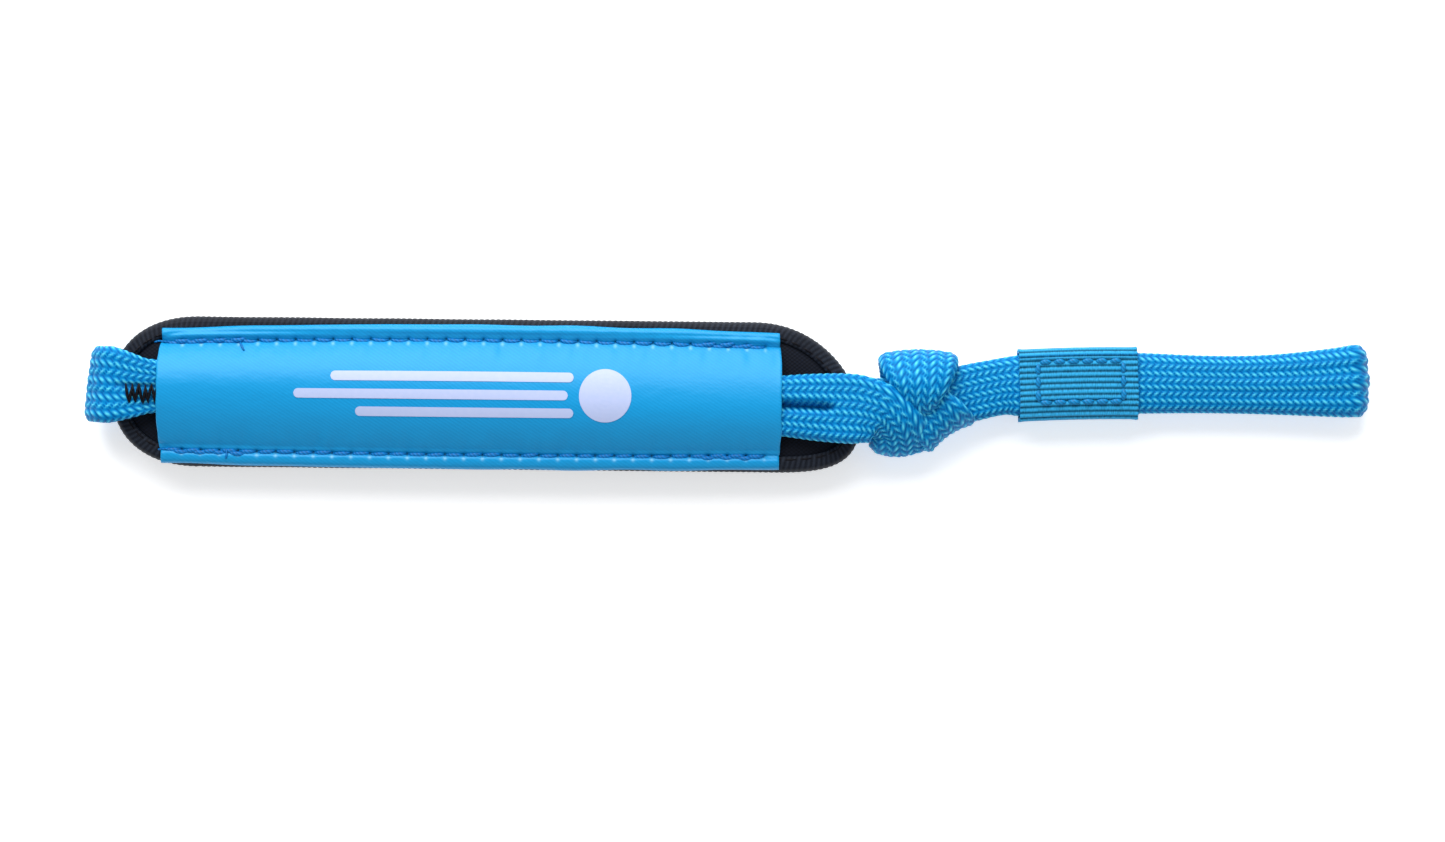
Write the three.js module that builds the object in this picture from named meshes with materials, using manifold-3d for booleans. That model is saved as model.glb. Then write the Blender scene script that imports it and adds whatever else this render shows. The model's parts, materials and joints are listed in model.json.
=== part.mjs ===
// Padded wrist strap for a padel racket, laid flat: a flat braided cord, sewn end to end, is
// knotted into a wrist loop and a racket loop. A padded sleeve rides on the wrist loop and a
// ribbon keeper slides on the racket loop.
// Millimetres, +Z up, +X towards the racket loop, the underside of the cord on Z = 0.
import * as THREE from "three";
import { mergeVertices } from "three/addons/utils/BufferGeometryUtils.js";
import Module from "manifold-3d";

const wasm = await Module();
wasm.setup();

// ---------------------------------------------------------------- driving dimensions

const CORD = {
  thickness: 2.4, // of the flat hollow braid
  loopWidth: 10.2, // in the sleeve
  bendWidth: 12.4, // where it flares round the left-hand bend
  neckWidth: 11.4, // where it enters the knot
  tailWidth: 9.9, // in the racket loop
  foldWidth: 11.8, // where it flares round the racket loop's fold
  lap: 13.0, // how far its two ends overlap
};
const GAP = 0.1; // between layers of cloth that lie on each other
const SLIDE_GAP = 0.3; // round a piece that slides, and between cord and knot

const PAD = {
  centreX: -39.0,
  centreY: 0.1,
  tilt: THREE.MathUtils.degToRad(-0.6), // it lies slightly askew on the cord
  length: 120.9,
  width: 24.2,
  leftEnd: 14.4, // length of the rounded ends
  rightEnd: 17.4,
  rightSkew: 2.0, // the right-hand tip leans this far towards -Y
  endPower: 2.3, // 2 is an ellipse, and more is squarer
  cover: 0.7, // front and back fabric
  foam: 2.7,
  reach: 1.2, // its left-hand tip lies this far inside the cord's bend
  play: 0.6, // from its right-hand tip to the end of the cord's straight run
};
const BINDING = {
  thickness: 0.5, // of the tape
  lip: 2.6, // how far it folds over the covers
  round: 1.5, // of the folded edge
  seamInset: 2.0, // from the pad's edge
  thread: 0.5,
  threadHeight: 0.2,
};
const SLEEVE = {
  leftMargin: 8.1, // from the pad's tips to the ribbon's cut ends
  rightMargin: 13.1,
  offsetY: -0.6, // sewn on slightly low
  ply: 0.4, // satin ribbon
  slack: 1.7, // room either side of the cord, which lies askew in the tunnel
  flare: 1.5, // the tunnel is wider by this at its foot, each side
  seamOut: 0.6, // from the tunnel's foot to the seam
  hem: 2.4, // from the seam to the folded edge
};
const THREAD = { width: 0.7, height: 0.3, pitch: 3.03 };
const TACK = { start: 1.5, length: 5.2, width: 2.0, offsetY: -0.6, thread: 0.4, height: 0.2, pitch: 1.3 };
const PRINT = {
  ballRadius: 4.2,
  ballX: 19.4, // from the pad's centre
  bar: 1.5,
  barStep: 2.8, // from one bar to the next
  barLengths: [35.0, 44.0, 39.0], // from the lowest to the highest
  film: 0.08,
  offsetY: 0.5,
};
const KNOT = { length: 17.45, height: 11.6, bevel: 2.6 };
const TAIL = {
  centreY: 1.3,
  tilt: THREE.MathUtils.degToRad(0.95),
  length: 61.1, // from the hinge to the outside of the fold
  bowed: 15.1, // the two strands lie together except in this last stretch
  fullness: 0.45, // each strand bows out this much before the fold
  slotStart: 4.0, // the strands are joined as far as this from the hinge
};
const KEEPER = {
  start: 4.2, // from the hinge
  ribbonWidth: 19.9,
  ply: 0.6, // grosgrain ribbon
  corner: 1.2,
  lapLow: -3.2, // the ribbon's ends overlap between these
  lapHigh: 4.6,
  seamLength: 14.0,
  seamWidth: 6.5,
  thread: 0.6,
  threadHeight: 0.25,
};

// ---------------------------------------------------------------- heights of the layers

const backTop = CORD.thickness;
const binding0 = backTop + GAP;
const backCover0 = binding0 + BINDING.thickness + GAP;
const foam0 = backCover0 + PAD.cover + GAP;
const frontCover0 = foam0 + PAD.foam + GAP;
const lip0 = frontCover0 + PAD.cover + GAP;
const binding1 = lip0 + BINDING.thickness;
const bindingSeam0 = binding1 + GAP;
const front0 = bindingSeam0 + BINDING.threadHeight + GAP;
const frontTop = front0 + CORD.thickness;
const tack0 = frontTop + GAP;
const tunnelCeiling = tack0 + TACK.height + GAP;
const sleeveTop = tunnelCeiling + SLEEVE.ply;
const hemTop = front0 + 2 * SLEEVE.ply;
const tailHalf = CORD.thickness + SLIDE_GAP / 2; // half the doubled cord's thickness
const tailZ = KEEPER.ply + SLIDE_GAP + tailHalf;

// ---------------------------------------------------------------- places along the strap

const bendX = PAD.centreX - PAD.length / 2 + PAD.reach; // the bend's centre line
const neckX = PAD.centreX + PAD.length / 2 + PAD.play; // the straight runs end here
const knotLeft = neckX + SLIDE_GAP;
const knotRight = knotLeft + KNOT.length;
const hingeX = knotRight + SLIDE_GAP + tailHalf; // the doubled cord's bend, as it leaves the knot
const lapStart = bendX + 1.3;
const lapEnd = lapStart + CORD.lap;
const sleeveLeft = SLEEVE.leftMargin - PAD.length / 2; // from the pad's centre
const sleeveRight = PAD.length / 2 - SLEEVE.rightMargin;
const tunnelTop = CORD.loopWidth / 2 + SLEEVE.slack; // half widths of the sleeve's section
const tunnelFoot = tunnelTop + SLEEVE.flare;
const seamY = tunnelFoot + SLEEVE.seamOut;
const sleeveHalf = seamY + SLEEVE.hem;

// ---------------------------------------------------------------- materials

const cloth = (color, roughness) => new THREE.MeshStandardMaterial({ color, roughness, metalness: 0 });
const braid = cloth(0x0b93dc, 0.55);
const satin = cloth(0x03a4e8, 0.35);
const grosgrain = cloth(0x2586c4, 0.5);
const blueThread = cloth(0x0a72c4, 0.5);
const blackThread = cloth(0x0a0a0e, 0.6);
const blackKnit = cloth(0x10141c, 0.85);
const blackTape = cloth(0x171c26, 0.8);
const foamRubber = cloth(0x24262a, 0.95);
const ink = cloth(0xb4c4e7, 0.6);

// ---------------------------------------------------------------- helpers

const planStep = 4; // between the points of a cord's edges

const smooth = (t) => t * t * (3 - 2 * t);

// A smooth run through [x, value] pairs, level outside them.
function along(pairs) {
  return (x) => {
    if (x <= pairs[0][0]) return pairs[0][1];
    for (let i = 1; i < pairs.length; i++) {
      const [x0, v0] = pairs[i - 1];
      const [x1, v1] = pairs[i];
      if (x <= x1) return v0 + (v1 - v0) * smooth((x - x0) / (x1 - x0));
    }
    return pairs[pairs.length - 1][1];
  };
}

function arc(centreX, centreY, radius, from, to, count) {
  return Array.from({ length: count + 1 }, (_, i) => {
    const angle = from + ((to - from) * i) / count;
    return new THREE.Vector2(centreX + radius * Math.cos(angle), centreY + radius * Math.sin(angle));
  });
}

// A flat plate: an outline in XY, from z0 up.
function plate(outline, z0, depth) {
  const shape = outline instanceof THREE.Shape ? outline : new THREE.Shape(outline);
  return new THREE.ExtrudeGeometry(shape, { depth, bevelEnabled: false }).translate(0, 0, z0);
}

// An outline in XZ, extruded in Y to this width about Y = 0.
function band(shape, width) {
  const geometry = new THREE.ExtrudeGeometry(shape, { depth: width, bevelEnabled: false });
  return geometry.rotateX(Math.PI / 2).translate(0, width / 2, 0);
}

// An outline in YZ, extruded in X from x0.
function bar(shape, x0, length) {
  const geometry = new THREE.ExtrudeGeometry(shape, { depth: length, bevelEnabled: false });
  return geometry.rotateX(Math.PI / 2).rotateZ(Math.PI / 2).translate(x0, 0, 0);
}

function solidOf(geometry) {
  const bare = geometry.index ? geometry.toNonIndexed() : geometry.clone();
  bare.deleteAttribute("normal");
  bare.deleteAttribute("uv");
  const merged = mergeVertices(bare, 1e-4);
  return new wasm.Manifold(
    new wasm.Mesh({
      numProp: 3,
      vertProperties: merged.getAttribute("position").array,
      triVerts: new Uint32Array(merged.index.array),
    }),
  );
}

function geometryOf(solid) {
  const mesh = solid.getMesh();
  const geometry = new THREE.BufferGeometry();
  geometry.setAttribute("position", new THREE.BufferAttribute(mesh.vertProperties, 3));
  geometry.setIndex(new THREE.BufferAttribute(mesh.triVerts, 1));
  geometry.computeVertexNormals();
  return geometry;
}

// A flat cord from its outline in XZ, with its width and its centre line as functions of x.
function flatCord(outline, width, centre) {
  const xs = outline.getPoints().map((p) => p.x);
  const [start, end] = [Math.min(...xs) - 1, Math.max(...xs) + 1];
  const steps = Math.ceil((end - start) / planStep);
  const edge = (side) =>
    Array.from({ length: steps + 1 }, (_, i) => {
      const x = start + ((end - start) * i) / steps;
      return new THREE.Vector2(x, centre(x) + (side * width(x)) / 2);
    });
  const plan = plate([...edge(-1), ...edge(1).reverse()], -2 * frontTop, 4 * frontTop);
  return geometryOf(solidOf(band(outline, 4 * PAD.width)).intersect(solidOf(plan)));
}

function piece(name, geometry, material) {
  const mesh = new THREE.Mesh(geometry, material);
  mesh.name = name;
  return mesh;
}

// ---------------------------------------------------------------- the wrist loop's cord

// The cord runs askew: its centre line and its width, from the left-hand bend to the knot.
const wristCentre = along([[bendX - 5, 1.8], [bendX + 6, 1.35], [neckX - 14, -1.75], [neckX, -2.3]]);
const wristWidth = along([
  [bendX - 3, CORD.bendWidth],
  [bendX + 6, CORD.loopWidth - 0.4],
  [bendX + 18, CORD.loopWidth],
  [neckX - 14, CORD.loopWidth],
  [neckX - 2, CORD.neckWidth],
]);
const lapSplit = (front0 + frontTop) / 2; // the two ends are flattened to half the height each

// From the knot under the pad, round the bend and over the other end, which it overlaps.
function cordBackRun() {
  const outer = frontTop / 2;
  const inner = outer - CORD.thickness;
  const outline = new THREE.Shape([
    new THREE.Vector2(neckX, 0),
    ...arc(bendX, outer, outer, -Math.PI / 2, (-3 * Math.PI) / 2, 12),
    new THREE.Vector2(lapEnd, frontTop),
    new THREE.Vector2(lapEnd, lapSplit + GAP / 2),
    new THREE.Vector2(lapStart, lapSplit + GAP / 2),
    new THREE.Vector2(lapStart, front0),
    ...arc(bendX, outer, inner, Math.PI / 2, (3 * Math.PI) / 2, 10),
    new THREE.Vector2(neckX, backTop),
  ]);
  return flatCord(outline, wristWidth, wristCentre);
}

// From the lap, through the sleeve, to the knot.
function cordFrontRun() {
  const start = lapStart + SLIDE_GAP;
  const step = lapEnd + SLIDE_GAP;
  const outline = new THREE.Shape([
    new THREE.Vector2(start, front0),
    new THREE.Vector2(neckX, front0),
    new THREE.Vector2(neckX, frontTop),
    new THREE.Vector2(step, frontTop),
    new THREE.Vector2(step, lapSplit - GAP / 2),
    new THREE.Vector2(start, lapSplit - GAP / 2),
  ]);
  return flatCord(outline, wristWidth, wristCentre);
}

// The zigzag of black thread that joins the two ends: strokes that meet at their ends.
function cordJoinTack() {
  const left = bendX + TACK.start;
  const strokes = 2 * Math.round(TACK.length / TACK.pitch);
  const step = TACK.length / strokes;
  const angle = Math.atan2(TACK.width, step);
  const length = Math.hypot(TACK.width, step) + TACK.thread * 0.5;
  let zigzag = null;
  for (let i = 0; i < strokes; i++) {
    const stroke = new THREE.BoxGeometry(length, TACK.thread, TACK.height)
      .rotateZ(i % 2 ? -angle : angle)
      .translate(left + (i + 0.5) * step, 0, tack0 + TACK.height / 2);
    zigzag = zigzag ? zigzag.add(solidOf(stroke)) : solidOf(stroke);
  }
  return geometryOf(zigzag).translate(0, wristCentre(left) + TACK.offsetY, 0);
}

// ---------------------------------------------------------------- the knot

// An overhand knot in the doubled cord: its outline from above, rounded over top and bottom.
function overhandKnot() {
  const edge = [
    [knotLeft, 1.2],
    [knotLeft + 2.6, 5.0],
    [knotLeft + 7.2, 6.7],
    [knotRight - 6.0, 6.9],
    [knotRight - 3.0, 5.2],
    [knotRight, 0.6],
    [knotRight, -2.9],
    [knotRight - 4.2, -6.6],
    [knotRight - 8.6, -9.9],
    [knotLeft + 6.2, -10.5],
    [knotLeft + 2.0, -9.0],
    [knotLeft, -6.4],
  ].map(([x, y]) => new THREE.Vector2(x, y));
  const geometry = new THREE.ExtrudeGeometry(new THREE.Shape(edge), {
    depth: KNOT.height - 2 * KNOT.bevel,
    bevelThickness: KNOT.bevel,
    bevelSize: KNOT.bevel * 0.8,
    bevelOffset: -KNOT.bevel * 0.8,
    bevelSegments: 3,
  });
  return geometry.translate(0, 0, KNOT.bevel);
}

// ---------------------------------------------------------------- the pad

// The pad's outline from above, drawn in by inset all round. Its ends are superellipses.
function padOutline(inset, points = 9) {
  const half = PAD.width / 2 - inset;
  const left = PAD.leftEnd - PAD.length / 2;
  const right = PAD.length / 2 - PAD.rightEnd;
  const end = (x0, length, turn, skew) =>
    Array.from({ length: points }, (_, i) => {
      const angle = (Math.PI * (i + 0.5)) / points - Math.PI / 2;
      const power = 2 / PAD.endPower;
      const c = Math.cos(angle) ** power;
      const s = Math.sign(Math.sin(angle)) * Math.abs(Math.sin(angle)) ** power;
      return new THREE.Vector2(x0 + turn * (length - inset) * c, turn * half * s - skew * c * c);
    });
  return [
    new THREE.Vector2(left, -half),
    new THREE.Vector2(right, -half),
    ...end(right, PAD.rightEnd, 1, PAD.rightSkew),
    new THREE.Vector2(right, half),
    new THREE.Vector2(left, half),
    ...end(left, PAD.leftEnd, -1, 0),
  ];
}

const coverInset = BINDING.thickness + GAP;
const padBackCover = () => plate(padOutline(coverInset), backCover0, PAD.cover);
const padFoamCore = () => plate(padOutline(coverInset), foam0, PAD.foam);
const padFrontCover = () => plate(padOutline(coverInset), frontCover0, PAD.cover);

// Tape folded over the edges of the three layers: a C-shaped section all round the pad.
function padEdgeBinding() {
  const height = binding1 - binding0;
  const body = new THREE.ExtrudeGeometry(new THREE.Shape(padOutline(0)), {
    depth: height - 2 * BINDING.round,
    bevelThickness: BINDING.round,
    bevelSize: BINDING.round,
    bevelOffset: -BINDING.round,
    bevelSegments: 3,
  }).translate(0, 0, binding0 + BINDING.round);
  const inside = lip0 - binding0 - BINDING.thickness;
  const cavity = plate(padOutline(BINDING.thickness), binding0 + BINDING.thickness, inside);
  const window = plate(padOutline(BINDING.lip), binding0 - 1, height + 2);
  return geometryOf(solidOf(body).subtract(solidOf(cavity)).subtract(solidOf(window)));
}

function padBindingSeam() {
  const ring = new THREE.Shape(padOutline(BINDING.seamInset));
  ring.holes.push(new THREE.Path(padOutline(BINDING.seamInset + BINDING.thread)));
  return plate(ring, bindingSeam0, BINDING.threadHeight);
}

// ---------------------------------------------------------------- the sleeve

// The satin ribbon: folded hems either side of a tunnel for the cord.
function sleeveRibbon() {
  const right = [
    [sleeveHalf, front0],
    [sleeveHalf, hemTop],
    [tunnelFoot + 0.5, hemTop],
    [tunnelTop + 0.25, sleeveTop - 0.2],
    [tunnelTop - 2, sleeveTop],
  ];
  const inside = [[tunnelTop, tunnelCeiling], [tunnelFoot, front0]];
  const mirror = (list) => list.map(([y, z]) => [-y, z]).reverse();
  const loop = [...right, ...mirror(right), ...mirror(inside), ...inside];
  const shape = new THREE.Shape(loop.map(([y, z]) => new THREE.Vector2(y, z)));
  return bar(shape, sleeveLeft, sleeveRight - sleeveLeft).translate(0, SLEEVE.offsetY, 0);
}

// A row of stitches, each a low hump of thread.
function sleeveSeam(side) {
  const length = sleeveRight - sleeveLeft - 2 * SLIDE_GAP;
  const count = Math.round(length / THREAD.pitch);
  const pitch = length / count;
  const z0 = hemTop + GAP;
  const humps = Array.from({ length: count }, (_, i) => [
    new THREE.Vector2(i * pitch, z0 + THREAD.height * 0.4),
    new THREE.Vector2((i + 0.25) * pitch, z0 + THREAD.height),
    new THREE.Vector2((i + 0.75) * pitch, z0 + THREAD.height),
  ]).flat();
  const end = new THREE.Vector2(length, z0 + THREAD.height * 0.4);
  const base = [new THREE.Vector2(0, z0), new THREE.Vector2(length, z0)];
  const shape = new THREE.Shape([...base, end, ...humps.reverse()]);
  const y = SLEEVE.offsetY + side * (seamY + THREAD.width / 2);
  return band(shape, THREAD.width).translate(sleeveLeft + SLIDE_GAP, y, 0);
}

// A printed ball with three trailing bars: a plain ornament in one film of ink.
function sleevePrint() {
  const tail = PRINT.ballX - PRINT.ballRadius * 0.5;
  let film = solidOf(
    new THREE.CylinderGeometry(PRINT.ballRadius, PRINT.ballRadius, PRINT.film, 32)
      .rotateX(Math.PI / 2)
      .translate(PRINT.ballX, 0, PRINT.film / 2),
  );
  PRINT.barLengths.forEach((length, i) => {
    const strip = new THREE.BoxGeometry(length, PRINT.bar, PRINT.film);
    strip.translate(tail - length / 2, (i - 1) * PRINT.barStep, PRINT.film / 2);
    film = film.add(solidOf(strip));
  });
  return geometryOf(film).translate(0, SLEEVE.offsetY + PRINT.offsetY, sleeveTop + GAP);
}

// ---------------------------------------------------------------- the racket loop and its keeper

// The doubled cord, from the hinge at the knot to the fold. x and z are from the hinge.
function racketLoopCord() {
  const bowed = tailHalf + TAIL.fullness;
  const end = TAIL.length - bowed;
  const straight = TAIL.length - TAIL.bowed;
  const slot = SLIDE_GAP / 2;
  const outerBow = new THREE.CubicBezierCurve(
    new THREE.Vector2(straight, -tailHalf),
    new THREE.Vector2(straight + 5, -tailHalf),
    new THREE.Vector2(end - 5, -bowed),
    new THREE.Vector2(end, -bowed),
  ).getPoints(5);
  const innerBow = outerBow.map((p) => new THREE.Vector2(p.x, p.y + CORD.thickness));
  const low = [new THREE.Vector2(0, -tailHalf), ...outerBow.slice(0, -1)];
  const mirrored = (points) => points.map((p) => new THREE.Vector2(p.x, -p.y)).reverse();
  const outline = [
    ...low,
    ...arc(end, 0, bowed, -Math.PI / 2, Math.PI / 2, 10),
    ...mirrored(low).slice(0, -1),
    ...arc(0, 0, tailHalf, Math.PI / 2, (3 * Math.PI) / 2, 8).slice(0, -1),
  ];
  const lowSlot = [new THREE.Vector2(TAIL.slotStart, -slot), ...innerBow.slice(0, -1)];
  const foldInside = arc(end, 0, bowed - CORD.thickness, -Math.PI / 2, Math.PI / 2, 6);
  const hole = [...lowSlot, ...foldInside, ...mirrored(lowSlot)];
  const shape = new THREE.Shape(outline);
  shape.holes.push(new THREE.Path(hole));
  const width = along([
    [0, CORD.tailWidth - 0.9],
    [4, CORD.tailWidth],
    [straight, CORD.tailWidth],
    [TAIL.length - 3, CORD.foldWidth],
  ]);
  return flatCord(shape, width, () => 0).translate(0, 0, tailZ);
}

// Grosgrain ribbon wrapped round the doubled cord, its ends lapped on top.
function keeperRibbon() {
  const innerY = CORD.tailWidth / 2 + SLIDE_GAP;
  const innerZ = tailHalf + SLIDE_GAP;
  const rounded = (y, z, r) => {
    const corner = (cy, cz, from) => arc(cy, cz, r, from, from + Math.PI / 2, 4);
    return [
      ...corner(y - r, z - r, 0),
      ...corner(-y + r, z - r, Math.PI / 2),
      ...corner(-y + r, -z + r, Math.PI),
      ...corner(y - r, -z + r, (3 * Math.PI) / 2),
    ];
  };
  const y = innerY + KEEPER.ply;
  const z = innerZ + KEEPER.ply;
  const lap = [
    new THREE.Vector2(KEEPER.lapHigh, z),
    new THREE.Vector2(KEEPER.lapHigh, z + KEEPER.ply),
    new THREE.Vector2(KEEPER.lapLow + 0.8, z + KEEPER.ply),
    new THREE.Vector2(KEEPER.lapLow, z),
  ];
  const outer = rounded(y, z, KEEPER.corner);
  outer.splice(5, 0, ...lap); // after the first corner, where the flat top begins
  const shape = new THREE.Shape(outer);
  shape.holes.push(new THREE.Path(rounded(innerY, innerZ, KEEPER.corner - KEEPER.ply)));
  return bar(shape, KEEPER.start, KEEPER.ribbonWidth).translate(0, 0, tailZ);
}

function keeperSeam() {
  const frame = (inset) => {
    const x0 = KEEPER.start + (KEEPER.ribbonWidth - KEEPER.seamLength) / 2 + inset;
    const x1 = x0 + KEEPER.seamLength - 2 * inset;
    const middle = (KEEPER.lapLow + KEEPER.lapHigh) / 2;
    const half = KEEPER.seamWidth / 2 - inset;
    return [
      new THREE.Vector2(x0, middle - half),
      new THREE.Vector2(x1, middle - half),
      new THREE.Vector2(x1, middle + half),
      new THREE.Vector2(x0, middle + half),
    ];
  };
  const shape = new THREE.Shape(frame(0));
  shape.holes.push(new THREE.Path(frame(KEEPER.thread)));
  const z0 = tailZ + tailHalf + SLIDE_GAP + 2 * KEEPER.ply + GAP;
  return plate(shape, z0, KEEPER.threadHeight);
}

// ---------------------------------------------------------------- the assembly

const wristLoop = new THREE.Group();
wristLoop.add(
  piece("cord_back_run", cordBackRun(), braid),
  piece("cord_front_run", cordFrontRun(), braid),
  piece("cord_join_tack", cordJoinTack(), blackThread),
  piece("overhand_knot", overhandKnot(), braid),
);

const pad = new THREE.Group();
pad.position.set(PAD.centreX, PAD.centreY, 0);
pad.rotation.z = PAD.tilt;
pad.add(
  piece("pad_back_cover", padBackCover(), blackKnit),
  piece("pad_foam_core", padFoamCore(), foamRubber),
  piece("pad_front_cover", padFrontCover(), blackKnit),
  piece("pad_edge_binding", padEdgeBinding(), blackTape),
  piece("pad_binding_seam", padBindingSeam(), blackThread),
  piece("sleeve_ribbon", sleeveRibbon(), satin),
  piece("sleeve_upper_seam", sleeveSeam(1), blueThread),
  piece("sleeve_lower_seam", sleeveSeam(-1), blueThread),
  piece("sleeve_print", sleevePrint(), ink),
);

const racketLoop = new THREE.Group();
racketLoop.position.set(hingeX, TAIL.centreY, 0);
racketLoop.rotation.z = TAIL.tilt;
racketLoop.add(
  piece("racket_loop_cord", racketLoopCord(), braid),
  piece("keeper_ribbon", keeperRibbon(), grosgrain),
  piece("keeper_seam", keeperSeam(), blueThread),
);

const strap = new THREE.Group();
strap.add(wristLoop, pad, racketLoop);

// The origin is the middle of the strap's footprint, on the surface that it lies on.
const box = new THREE.Box3().setFromObject(strap, true);
const centre = box.getCenter(new THREE.Vector3());
strap.position.set(-centre.x, -centre.y, -box.min.z);

export default strap;
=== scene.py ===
"""Padded wrist strap of a padel racket, laid flat, made round its packed frame.

One flat braided cord is knotted into a wrist loop and a racket loop. A padded cuff rides on the
wrist loop in a satin sleeve, and a grosgrain keeper slides on the racket loop. The helpers work in
millimetres, and make_mesh() turns them into metres.
"""

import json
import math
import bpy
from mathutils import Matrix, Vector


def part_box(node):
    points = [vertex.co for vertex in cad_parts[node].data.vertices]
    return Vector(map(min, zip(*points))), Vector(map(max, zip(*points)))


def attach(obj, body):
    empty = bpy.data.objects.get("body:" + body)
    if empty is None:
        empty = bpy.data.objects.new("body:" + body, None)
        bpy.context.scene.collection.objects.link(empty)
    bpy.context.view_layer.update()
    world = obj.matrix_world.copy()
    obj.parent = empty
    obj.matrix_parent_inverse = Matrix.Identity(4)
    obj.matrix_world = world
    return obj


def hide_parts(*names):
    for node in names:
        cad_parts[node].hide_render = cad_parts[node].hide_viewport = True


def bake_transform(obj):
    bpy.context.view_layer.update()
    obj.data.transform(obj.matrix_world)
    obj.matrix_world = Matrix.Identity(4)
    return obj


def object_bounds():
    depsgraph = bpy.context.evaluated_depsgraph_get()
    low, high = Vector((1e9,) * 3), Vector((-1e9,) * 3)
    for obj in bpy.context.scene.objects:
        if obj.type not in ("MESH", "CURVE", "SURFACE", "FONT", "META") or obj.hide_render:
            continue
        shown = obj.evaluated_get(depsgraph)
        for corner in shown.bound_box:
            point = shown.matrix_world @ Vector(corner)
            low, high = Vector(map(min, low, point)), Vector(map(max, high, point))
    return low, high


bl_info = {
    "name": "Padded racket wrist strap",
    "version": (1, 0, 0),
    "blender": (4, 5, 0),
    "location": "3D View > Sidebar > Wrist strap",
    "description": "Braided cord, padded cuff, satin sleeve and ribbon keeper of a racket wrist strap",
    "category": "Add Mesh",
}

import bpy
import numpy as np
from bpy.props import FloatProperty, FloatVectorProperty, PointerProperty
from mathutils import Matrix

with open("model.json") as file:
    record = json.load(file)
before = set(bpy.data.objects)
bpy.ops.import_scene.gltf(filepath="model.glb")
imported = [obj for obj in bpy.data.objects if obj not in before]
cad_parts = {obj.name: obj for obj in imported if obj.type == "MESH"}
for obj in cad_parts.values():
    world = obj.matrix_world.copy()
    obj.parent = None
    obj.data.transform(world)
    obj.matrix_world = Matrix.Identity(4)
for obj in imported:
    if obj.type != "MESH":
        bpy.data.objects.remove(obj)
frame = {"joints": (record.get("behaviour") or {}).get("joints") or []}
CAD_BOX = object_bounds()

MM = 0.001
WELD = 0.000002  # metres: points nearer than this are one


# ------------------------------------------------------------------ sizes taken from the frame


def node_box(name):
    """The low and high corners of a frame node's box, in millimetres."""
    low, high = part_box(name)
    return np.array(low) / MM, np.array(high) / MM


def joint(name):
    """One of the frame's joints."""
    return next(j for j in frame["joints"] if j["name"] == name)


def unit(v):
    """A vector at length 1."""
    return np.asarray(v, float) / np.linalg.norm(v)


BACK_LOW, BACK_HIGH = node_box("cord_back_run")
FRONT_LOW, FRONT_HIGH = node_box("cord_front_run")
BINDING_LOW, BINDING_HIGH = node_box("pad_edge_binding")
SLEEVE_LOW, SLEEVE_HIGH = node_box("sleeve_ribbon")
KEEPER_LOW, KEEPER_HIGH = node_box("keeper_ribbon")
_, TAIL_HIGH = node_box("racket_loop_cord")

THICK = FRONT_HIGH[2] - FRONT_LOW[2]  # of the flat braid
FRONT_Z = (FRONT_HIGH[2] + FRONT_LOW[2]) / 2
BACK_Z = THICK / 2
BEND_RADIUS = BACK_HIGH[2] / 2 - THICK / 2  # to the middle of the braid
BEND_X = BACK_LOW[0] + BACK_HIGH[2] / 2
CROWN_ROOM = 0.5  # left at the cord's bends for the braid's crown
NECK_X = BACK_HIGH[0]
HINGE = np.array(joint("tail_bend")["pos_m"]) / MM
TAIL_DIR = unit(joint("keeper_slide")["axis"])
TAIL_SIDE = np.array([-TAIL_DIR[1], TAIL_DIR[0], 0.0])
TAIL_REACH = TAIL_HIGH[0] - HINGE[0]  # from the hinge to the loop's end
PAD_DIR = unit(joint("pad_slide")["axis"])
PAD_SIDE = np.array([-PAD_DIR[1], PAD_DIR[0], 0.0])
PAD_CENTRE = (BINDING_LOW + BINDING_HIGH) / 2
UP = np.array([0.0, 0.0, 1.0])


# ------------------------------------------------------------------ helpers


def smooth(t):
    t = np.clip(t, 0.0, 1.0)
    return t * t * (3 - 2 * t)


def ramp(x, start, end):
    """0 before start, 1 after end, and smooth between."""
    return smooth((np.asarray(x, float) - start) / (end - start))


def along(x, pairs):
    """A smooth run through (x, value) pairs, level outside them."""
    x = np.asarray(x, float)
    value = np.full(x.shape, pairs[0][1], float)
    for (x0, v0), (x1, v1) in zip(pairs, pairs[1:]):
        value = np.where(x > x0, v0 + (v1 - v0) * smooth((x - x0) / (x1 - x0)), value)
    return value


def ripple(x, seed, length, count=4):
    """A repeatable gentle unevenness from -1 to 1 along x, with waves of about this length."""
    random = np.random.default_rng(seed)
    total = np.zeros(np.shape(x))
    for _ in range(count):
        total += np.sin(x * 2 * math.pi / (length * random.uniform(0.6, 1.6)) + random.uniform(0, 6.3))
    return total / count


def run_length(points):
    """The length of a line of points up to each of them."""
    return np.concatenate([[0], np.cumsum(np.linalg.norm(np.diff(points, axis=0), axis=1))])


def sampled(stops, length, rows):
    """Rows of values that lie at length along a line, read again at stops."""
    return np.stack([np.interp(stops, length, column) for column in rows.T], -1)


def in_pad(x, y, z):
    """Points given along and across the cuff and up from the floor, in the rest frame."""
    x, y, z = np.broadcast_arrays(*(np.asarray(v, float) for v in (x, y, z)))
    flat = PAD_CENTRE * (1, 1, 0) + x[..., None] * PAD_DIR + y[..., None] * PAD_SIDE
    return flat + z[..., None] * UP


def in_tail(x, y, z):
    """Points given along and across the racket loop and up from its middle, in the rest frame."""
    x, y, z = np.broadcast_arrays(*(np.asarray(v, float) for v in (x, y, z)))
    return HINGE + x[..., None] * TAIL_DIR + y[..., None] * TAIL_SIDE + z[..., None] * UP


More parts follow.
